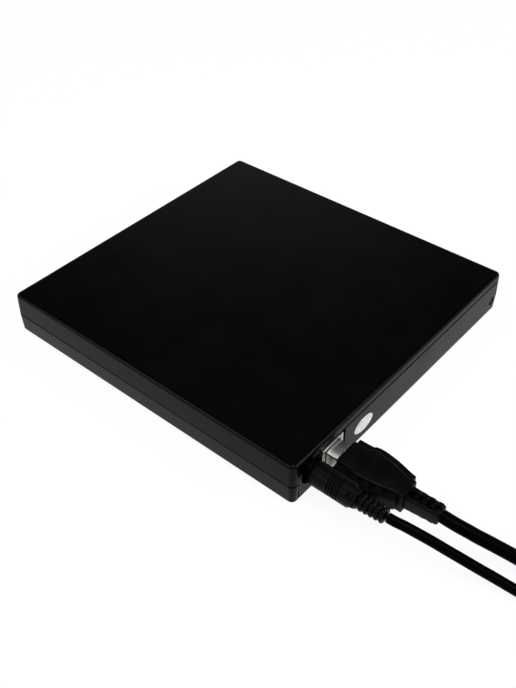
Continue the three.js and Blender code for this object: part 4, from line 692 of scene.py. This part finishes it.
POWER_RADIUS = 4.6
GRIP_FACING = math.pi / 4
GROOVES = 5
GROOVE_START = 11.05
GROOVE_PITCH = 1.07
GROOVE_SHARE = 0.11
PAD_START, PAD_END = 19.2, 22.38
DIMPLE = Vector((3.25, 20.0, 3.25))
DIMPLE_DEPTH = 0.8
RIBS = 5
RIB_START = 23.2


def facing(vert, narrow, wide):
    """1 where a point looks the way that the grip faces, falling to 0 round the plug."""
    away = abs(math.remainder(math.atan2(vert.co.z, vert.co.x) - GRIP_FACING, TURN))
    return 1 - smoothstep(away, math.radians(narrow), math.radians(wide))


def power_overmould():
    bm = bmesh.new()
    profile = [(0, 0), (3.4, 0), (3.4, 2.95), (4.0, 3.1), (4.4, 3.6), (POWER_RADIUS, 4.4)]
    profile += [(POWER_RADIUS, 5.4 + 1.1 * step) for step in range(6)]
    for groove in range(GROOVES):
        start = GROOVE_START + groove * GROOVE_PITCH
        profile += [(POWER_RADIUS, start + step) for step in (0, 0.12, 0.42, 0.54)]
    profile += [(POWER_RADIUS, 16.4 + 0.25 * step) for step in range(24)]
    profile += [(4.45, 22.35), (2.4, 22.4)]
    pitch = (POWER_PLUG_LENGTH - RIB_START) / RIBS
    for rib in range(RIBS):
        start = RIB_START + rib * pitch
        outer = 3.35 - 0.1 * rib
        profile += [(2.25, start), (outer - 0.25, start + 0.1), (outer, start + 0.4), (outer, start + 1.0),
                    (outer - 0.25, start + 1.3), (2.25, start + 1.4)]
    profile += [(0, POWER_PLUG_LENGTH)]
    turned(bm, profile, 96)
    for vert in bm.verts:
        place = vert.co.y
        for groove in range(GROOVES):
            middle = GROOVE_START + groove * GROOVE_PITCH + 0.27
            if abs(place - middle) < 0.2:
                vert.co.xz *= 1 - GROOVE_SHARE * facing(vert, 46, 62)
        if PAD_START < place < PAD_END and vert.co.xz.length > 3:
            taper = smoothstep(place, PAD_START, PAD_START + 2) * 0.25
            vert.co.xz *= 1 - taper * (1 - facing(vert, 42, 72))
        gap = vert.co - DIMPLE
        if abs(gap.y) < 1.1 and gap.length < 2.2 and vert.co.xz.length > 3:
            round_gap = math.hypot(gap.x, gap.z)
            along, across = smoothstep(abs(gap.y), 0.7, 1.05), smoothstep(round_gap, 0.95, 1.4)
            vert.co.xz *= 1 - DIMPLE_DEPTH * (1 - along) * (1 - across) / POWER_RADIUS
    for rib in range(RIBS):
        low = 22.3 + rib * pitch
        reach = 2.7 - 0.1 * rib
        half_x, half_z = (reach, 0.8) if rib % 2 else (0.8, reach)
        block(bm, (-half_x, low, -half_z), (half_x, low + 1.4, half_z))
    move(bm, (POWER_AXIS.x, POWER_PLUG_START, POWER_AXIS.z))
    return finished("power_plug_overmould", bm, plug_pvc, stands_for=("dc_plug",))


power_plug = power_overmould()


# Far plugs, made along X from the cord's end and laid where each coil leaves off

# Place along the plug, half width and half height
FAR_BODY = [(8.0, 5.6, 3.2), (8.5, 6.4, 3.6), (10.0, 7.1, 3.8), (13.0, 7.6, 3.9), (17.0, 7.7, 3.9),
            (29.0, 7.7, 3.9), (31.2, 7.6, 3.85), (32.0, 7.1, 3.4)]
FAR_SHELL_START = 32.4
FAR_SHELL_SIZE = (12.0, 12.0, 4.5)
FAR_SHEET = 0.35
LATCH_WINDOW = (34.8, 37.2)
LATCH_WINDOW_NEAR, LATCH_WINDOW_FAR = 1.5, 3.75
CONTACTS = (-3.5, -1.0, 1.0, 3.5)


def far_place(end, turn):
    return Matrix.Translation(end) @ Matrix.Rotation(turn, 4, "Z")


def far_plug(name, cord, end, turn, nodes_replaced):
    """The far plug's body with its ribbed sides, its ringed relief and the tongue for its contacts."""
    relief = cord / 2 + 0.8
    bm = bmesh.new()
    drawn(bm, FAR_BODY, 1.4, 5)
    for side in (-7.55, 7.55):
        for rib in range(5):
            start = 14.0 + rib * 2.2
            block(bm, (side - 0.15, start, -2.4), (side + 0.15, start + 1.1, 2.4), 0.1)
    drawn(bm, [(0, relief - 0.3, relief - 0.3), (0.3, relief, relief), (8.2, relief, relief)], 0.7)
    for ring in range(3):
        start = 1.6 + ring * 2.0
        drawn(bm, [(start, relief + 0.1, relief + 0.1), (start + 0.15, relief + 0.35, relief + 0.35),
                   (start + 0.95, relief + 0.35, relief + 0.35), (start + 1.1, relief + 0.1, relief + 0.1)],
              0.7)
    block(bm, (-5.4, 31.0, -1.9), (5.4, 43.4, -0.1), 0.1)
    swing(bm, -QUARTER_TURN, "Z")
    move(bm, (CORD_GAP, 0, 0))
    bmesh.ops.transform(bm, verts=bm.verts, matrix=far_place(end, turn))
    return finished(name + "_far_overmould", bm, plug_pvc, stands_for=nodes_replaced)


def far_contacts(name, end, turn):
    """The four spring contacts on the far plug's tongue; the outer two reach further."""
    bm = bmesh.new()
    for across in CONTACTS:
        reach = 42.6 if abs(across) > 2 else 41.6
        block(bm, (33.0, across - 0.5, -0.12), (reach, across + 0.5, -0.02), 0.03)
    bmesh.ops.transform(bm, verts=bm.verts, matrix=far_place(end, turn))
    return finished(name + "_far_contacts", bm, nickel)


def far_shell(name, end, turn, node):
    """The folded metal shell, open at both ends, with its two square latch windows above and below."""
    bm = bmesh.new()
    verts = bmesh.ops.create_cube(bm, size=1)["verts"]
    bmesh.ops.scale(bm, verts=verts, vec=FAR_SHELL_SIZE)
    move(bm, (FAR_SHELL_START + FAR_SHELL_SIZE[0] / 2, 0, 0), verts)
    long_edges = [e for e in bm.edges if abs(e.verts[0].co.x - e.verts[1].co.x) > 1]
    bmesh.ops.bevel(bm, geom=long_edges, offset=0.5, segments=4, profile=0.5, affect="EDGES", material=-1)
    bmesh.ops.delete(bm, geom=[f for f in bm.faces if abs(f.normal.x) > 0.9], context="FACES")
    cut_across(bm, LATCH_WINDOW, "x")
    cut_across(bm, (-LATCH_WINDOW_FAR, -LATCH_WINDOW_NEAR, LATCH_WINDOW_NEAR, LATCH_WINDOW_FAR), "y")
    windows = [f for f in bm.faces
               if abs(f.normal.z) > 0.9 and LATCH_WINDOW[0] < f.calc_center_median().x < LATCH_WINDOW[1]
               and LATCH_WINDOW_NEAR < abs(f.calc_center_median().y) < LATCH_WINDOW_FAR]
    bmesh.ops.delete(bm, geom=windows, context="FACES")
    bmesh.ops.recalc_face_normals(bm, faces=bm.faces)
    bmesh.ops.solidify(bm, geom=bm.faces[:], thickness=FAR_SHEET)
    bmesh.ops.transform(bm, verts=bm.verts, matrix=far_place(end, turn))
    return finished(name + "_far_shell", bm, nickel, stands_for=(node,))


data_far = [far_plug("data", DATA_CORD, data_end, data_turn, ("usb_far_plug",)),
            far_contacts("data", data_end, data_turn),
            far_shell("data", data_end, data_turn, "usb_far_shell")]
power_far = [far_plug("power", POWER_CORD, power_end, power_turn, ("dc_far_plug",)),
             far_contacts("power", power_end, power_turn),
             far_shell("power", power_end, power_turn, "dc_far_shell")]


# Screws with a cross recess

RECESS_REACH = 0.95
RECESS_HALF = 0.17
RECESS_DEPTH = 0.7


def cross_screw(node, along, material):
    """A pan-head screw in place of a plain one, its head at one end of it and its shank along."""
    low, high = (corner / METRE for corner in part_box(node))
    along = Vector(along)
    head = (low + high) / 2 - along * abs((high - low).dot(along)) / 2
    reach = max(high - low)
    bm = bmesh.new()
    turned(bm, [(0, 0), (1.1, 0), (1.45, 0.12), (1.6, 0.4), (1.6, 0.95), (1.5, 1.0), (0.75, 1.0), (0.8, 1.2),
                (0.8, reach - 0.4), (0.4, reach), (0, reach)], 32, "Z")
    for axis in ("x", "y"):
        cut_across(bm, (-RECESS_REACH, -RECESS_HALF, RECESS_HALF, RECESS_REACH), axis)
    bmesh.ops.recalc_face_normals(bm, faces=bm.faces)
    recess = []
    for face in bm.faces:
        middle = face.calc_center_median()
        near, far = sorted((abs(middle.x), abs(middle.y)))
        if abs(middle.z) < 0.001 and near < RECESS_HALF and far < RECESS_REACH:
            recess.append(face)
    sink(bm, recess, (0, 0, RECESS_DEPTH))
    turn = Vector((0, 0, 1)).rotation_difference(along).to_matrix().to_4x4()
    bmesh.ops.transform(bm, verts=bm.verts, matrix=Matrix.Translation(head) @ turn)
    finished(node.replace("_screw", "_screw_head"), bm, material, stands_for=(node,))


for corner in ("front_left", "rear_left", "front_right", "rear_right"):
    cross_screw("case_screw_" + corner, (0, 0, 1), black_steel)
for side in ("left", "right"):
    cross_screw("board_screw_" + side, (0, 0, -1), zinc_sheet)
cross_screw("panel_screw", (0, -1, 0), black_steel)


# The blank oval sticker in its pocket on the rear panel

LABEL_LENGTH = 11.3
LABEL_HEIGHT = 6.8
LABEL_THICKNESS = 0.18
LABEL_PLACE = (29.0, HALF_DEPTH - 0.22, 8.2)


def oval_label():
    bm = bmesh.new()
    bmesh.ops.create_circle(bm, cap_ends=True, segments=64, radius=1)
    bmesh.ops.scale(bm, verts=bm.verts, vec=(LABEL_LENGTH / 2, LABEL_HEIGHT / 2, 1))
    sink(bm, bm.faces[:], (0, 0, LABEL_THICKNESS))
    swing(bm, -QUARTER_TURN, "X")
    move(bm, LABEL_PLACE)
    finished("blank_oval_label", bm, label_paper)


oval_label()


# Pickup lens, and the hub's chuck balls and rubber ring

LENS_PLACE = (-15.556, -23.556, 10.6)
DISC_SEAT = Vector((0, -8, 12.0))
BALL_RADIUS = 0.84
BALL_CIRCLE = 6.8
BALL_RISE = 1.4
FIRST_BALL = -135


def pickup_lens():
    bm = bmesh.new()
    turned(bm, [(0, 0.46), (0.7, 0.44), (1.3, 0.36), (1.75, 0.22), (2.13, 0.04), (2.13, -0.02), (0, -0.02)],
           48, "Z")
    move(bm, LENS_PLACE)
    finished("pickup_lens", bm, lens_coated, "lens")


def lens_seat():
    """The ring of glue that holds the lens."""
    bm = bmesh.new()
    turned(bm, [(2.15, 0.0), (2.3, 0.14), (2.75, 0.14), (2.9, 0.0)], 48, "Z")
    move(bm, LENS_PLACE)
    finished("pickup_lens_seat", bm, tray_plastic, "lens")


def chuck_balls():
    """The three sprung balls that hold a disc on the hub."""
    bm = bmesh.new()
    for third in range(3):
        angle = math.radians(FIRST_BALL + 120 * third)
        ball = bmesh.ops.create_uvsphere(bm, u_segments=24, v_segments=12, radius=BALL_RADIUS)["verts"]
        out = Vector((BALL_CIRCLE * math.cos(angle), BALL_CIRCLE * math.sin(angle), BALL_RISE))
        move(bm, DISC_SEAT + out, ball)
    finished("hub_chuck_balls", bm, ground_steel, "turntable")


def disc_ring():
    """The rubber ring that the disc rests on."""
    bm = bmesh.new()
    turned(bm, [(9.6, 0), (9.7, 0.12), (9.9, 0.16), (13.6, 0.16), (13.8, 0.12), (13.9, 0)], 96, "Z")
    move(bm, DISC_SEAT)
    finished("hub_rubber_ring", bm, neoprene, "turntable")


pickup_lens()
lens_seat()
chuck_balls()
disc_ring()


# Return spring of the eject button, wound at one fixed length between its two seats

SPRING_X, SPRING_Z = 38.0, 9.6
SPRING_FRONT, SPRING_REAR = -68.84, -66.46
SPRING_RADIUS = 1.0
SPRING_WIRE = 0.15
SPRING_CURLS = 5
STEPS_A_CURL = 24


def return_spring():
    bm = bmesh.new()
    ring = bmesh.ops.create_circle(bm, segments=10, radius=SPRING_WIRE)["verts"]
    move(bm, (SPRING_RADIUS, SPRING_FRONT + SPRING_WIRE, 0), ring)
    steps = SPRING_CURLS * STEPS_A_CURL
    rise = (SPRING_REAR - SPRING_FRONT - 2 * SPRING_WIRE) / steps
    bmesh.ops.spin(bm, geom=ring + bm.edges[:], cent=(0, 0, 0), axis=(0, 1, 0), dvec=(0, rise, 0),
                   angle=SPRING_CURLS * TURN, steps=steps)
    bmesh.ops.holes_fill(bm, edges=[e for e in bm.edges if e.is_boundary], sides=12)
    move(bm, (SPRING_X, 0, SPRING_Z))
    spring = finished("eject_return_spring", bm, ground_steel, "tray", ("eject_spring",), 60)
    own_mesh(spring)


return_spring()


# Chips and capacitors that stand on the bridge board

BOARD_TOP = 4.2
BOARD_MIDDLE = 63.2
CHIPS_X = (-41.08, -26.8)
CHIP_HALF = 4.05
CHIP_HEIGHT = 1.25
LEGS = 10
LEG_PITCH = 0.76
CANS_X = (22.2, 15.6, 9.0)
# Radius and height
CAN = [(0, 0), (2.24, 0), (2.28, 0.1), (2.28, 0.7), (2.22, 0.8), (2.22, 1.05), (2.28, 1.15), (2.28, 5.2),
       (2.2, 5.4), (1.8, 5.42), (0, 5.42)]
CAN_TOP = [(1.75, 5.40), (1.75, 5.47), (0, 5.47)]


def board_chips():
    bm, legs = bmesh.new(), bmesh.new()
    for x in CHIPS_X:
        block(bm, (x - CHIP_HALF, BOARD_MIDDLE - CHIP_HALF, BOARD_TOP),
              (x + CHIP_HALF, BOARD_MIDDLE + CHIP_HALF, BOARD_TOP + CHIP_HEIGHT), 0.12)
        for side in (-1, 1):
            near, far = sorted((BOARD_MIDDLE + side * 3.95, BOARD_MIDDLE + side * 4.75))
            for leg in range(LEGS):
                place = x - 3.42 + LEG_PITCH * leg
                block(legs, (place - 0.17, near, BOARD_TOP), (place + 0.17, far, BOARD_TOP + 0.22), 0.05, 1)
    finished("bridge_board_chips", bm, chip_epoxy)
    finished("bridge_board_chip_legs", legs, nickel)


def board_capacitors():
    """Aluminium cans in black sleeves that leave their crimped tops bare."""
    cans, tops = bmesh.new(), bmesh.new()
    for x in CANS_X:
        for bm, profile in ((cans, CAN), (tops, CAN_TOP)):
            part = bmesh.new()
            turned(part, profile, 32, "Z")
            move(part, (x, BOARD_MIDDLE, BOARD_TOP))
            absorb(bm, part)
    finished("bridge_board_capacitors", cans, chip_epoxy)
    finished("bridge_board_capacitor_tops", tops, zinc_sheet)


board_chips()
board_capacitors()


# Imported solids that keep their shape

for material, kept in (
    (shell_abs, ("top_cover", "bottom_cover")),
    (panel_abs, ("rear_panel",)),
    (bezel_abs, ("tray_bezel", "eject_button", "turntable")),
    (tray_plastic, ("tray",)),
    (lamp_clear, ("activity_lamp",)),
    (neoprene, ("rubber_foot_front_left", "rubber_foot_front_right", "rubber_foot_rear_left",
                "rubber_foot_rear_right", "damper_1", "damper_2", "damper_3")),
    (connector_pbt, ("drive_connector", "usb_socket_tongue", "dc_jack", "rail_guide_left",
                     "rail_guide_right")),
    (chip_epoxy, ("lens_holder",)),
    (board_mask, ("bridge_board", "tray_board")),
    (nickel, ("dc_jack_pin", "dc_barrel", "latch_lever")),
    (dull_nickel, ("usb_socket_shell",)),
    (zinc_sheet, ("drive_pan", "drive_lid", "slide_rail_left", "slide_rail_right", "spindle_motor",
                  "sled_motor")),
    (dull_sheet, ("tray_bottom_plate",)),
    (black_steel, ("mechanism_frame", "pickup_sled", "latch_magnet")),
    (ground_steel, ("guide_rod_inner", "guide_rod_outer", "lead_screw", "lock_post")),
):
    for node in kept:
        dress(node, material)


# Floor, backdrop, lamps and world. Their lengths are in metres

WHITE = (1, 1, 1, 1)
TABLE_RADIUS = 3.0
TABLE_DROP = 0.0002
# How far each step of the wall goes out and up
WALL = ((0.25, 0.04), (0.2, 0.12), (0.15, 0.25), (0.05, 0.6))
LAMP_SIZE = 0.8
LAMPS_AIM = Vector((0, 0.05, 0))


def table_white():
    """White for the camera and for every reflection, and a plain pale floor for the rest of the light."""
    material = bpy.data.materials.new("white_table")
    material.use_nodes = True
    tree = material.node_tree
    tree.nodes.clear()
    path = add(tree, "ShaderNodeLightPath")
    seen = add(tree, "ShaderNodeMath", {"operation": "MAXIMUM"},
               {0: path.outputs["Is Camera Ray"], 1: path.outputs["Is Glossy Ray"]})
    seen = add(tree, "ShaderNodeMath", {"operation": "MAXIMUM"},
               {0: seen.outputs[0], 1: path.outputs["Is Transmission Ray"]})
    shown = add(tree, "ShaderNodeBsdfDiffuse", {"Color": (0.08, 0.08, 0.08, 1)})
    glow = add(tree, "ShaderNodeEmission", {"Color": WHITE, "Strength": 0.93})
    both = add(tree, "ShaderNodeAddShader", links={0: shown.outputs[0], 1: glow.outputs[0]})
    plain = add(tree, "ShaderNodeBsdfDiffuse", {"Color": (0.75, 0.75, 0.75, 1)})
    mix = add(tree, "ShaderNodeMixShader",
              links={0: seen.outputs[0], 1: plain.outputs[0], 2: both.outputs[0]})
    add(tree, "ShaderNodeOutputMaterial", links={"Surface": mix.outputs[0]})
    return material


def white_floor():
    """A white table that runs up into a low wall all round."""
    bm = bmesh.new()
    bmesh.ops.create_circle(bm, cap_ends=True, segments=96, radius=TABLE_RADIUS)
    rim = bm.edges[:]
    for out, up in WALL:
        made = bmesh.ops.extrude_edge_only(bm, edges=rim)
        rim = [g for g in made["geom"] if isinstance(g, bmesh.types.BMEdge)]
        for vert in verts_of(made):
            away = Vector((vert.co.x, vert.co.y, 0)).normalized()
            vert.co += away * out + Vector((0, 0, up))
    mesh = mesh_of("table", bm)
    mesh.shade_smooth()
    mesh.materials.append(table_white())
    table = placed("table", mesh)
    table.location.z = -TABLE_DROP


def soft_lamp(name, place, power):
    lamp = bpy.data.lights.new(name, "AREA")
    lamp.shape = "RECTANGLE"
    lamp.size = lamp.size_y = LAMP_SIZE
    lamp.energy = power
    holder = placed(name, lamp)
    holder.location = place
    holder.rotation_euler = (LAMPS_AIM - Vector(place)).to_track_quat("-Z", "Y").to_euler()


def pale_walls():
    """A room dark above and pale towards its walls. High up it is paler along one diagonal than beside
    it."""
    world = bpy.data.worlds.new("pale_walls")
    bpy.context.scene.world = world
    world.use_nodes = True
    tree = world.node_tree
    way = add(tree, "ShaderNodeTexCoord").outputs["Generated"]
    level = add(tree, "ShaderNodeSeparateXYZ", links={"Vector": way}).outputs["Z"]
    light = add(tree, "ShaderNodeMapRange", {"interpolation_type": "SMOOTHSTEP", "From Min": 0.45,
                                             "From Max": 0.66, "To Min": 0.5, "To Max": 0.11},
                {"Value": level})
    beside = add(tree, "ShaderNodeVectorMath", {"operation": "DOT_PRODUCT", 1: (0.648, -0.762, 0)},
                 {0: way})
    beside = add(tree, "ShaderNodeMath", {"operation": "ABSOLUTE"}, {0: beside.outputs["Value"]})
    shade = add(tree, "ShaderNodeMapRange", {"interpolation_type": "SMOOTHSTEP", "From Min": 0.08,
                                             "From Max": 0.27, "To Min": 1.0, "To Max": 0.12},
                {"Value": beside.outputs[0]})
    low = add(tree, "ShaderNodeMapRange", {"interpolation_type": "SMOOTHSTEP", "From Min": 0.36,
                                           "From Max": 0.5, "To Min": 1.0, "To Max": 0.0},
              {"Value": level})
    paler = add(tree, "ShaderNodeMath", {"operation": "MAXIMUM"},
                {0: shade.outputs["Result"], 1: low.outputs["Result"]})
    strength = add(tree, "ShaderNodeMath", {"operation": "MULTIPLY"},
                   {0: light.outputs["Result"], 1: paler.outputs[0]})
    background = tree.nodes["Background"]
    background.inputs["Color"].default_value = WHITE
    tree.links.new(strength.outputs[0], background.inputs["Strength"])


white_floor()
soft_lamp("lamp_overhead", (0.15, 0.2, 1.3), 11)
soft_lamp("lamp_left", (1.2, -0.9, 1.1), 8)
soft_lamp("lamp_right", (-0.7, 1.5, 1.0), 15.5)
pale_walls()
bpy.context.scene.view_settings.view_transform = "Standard"
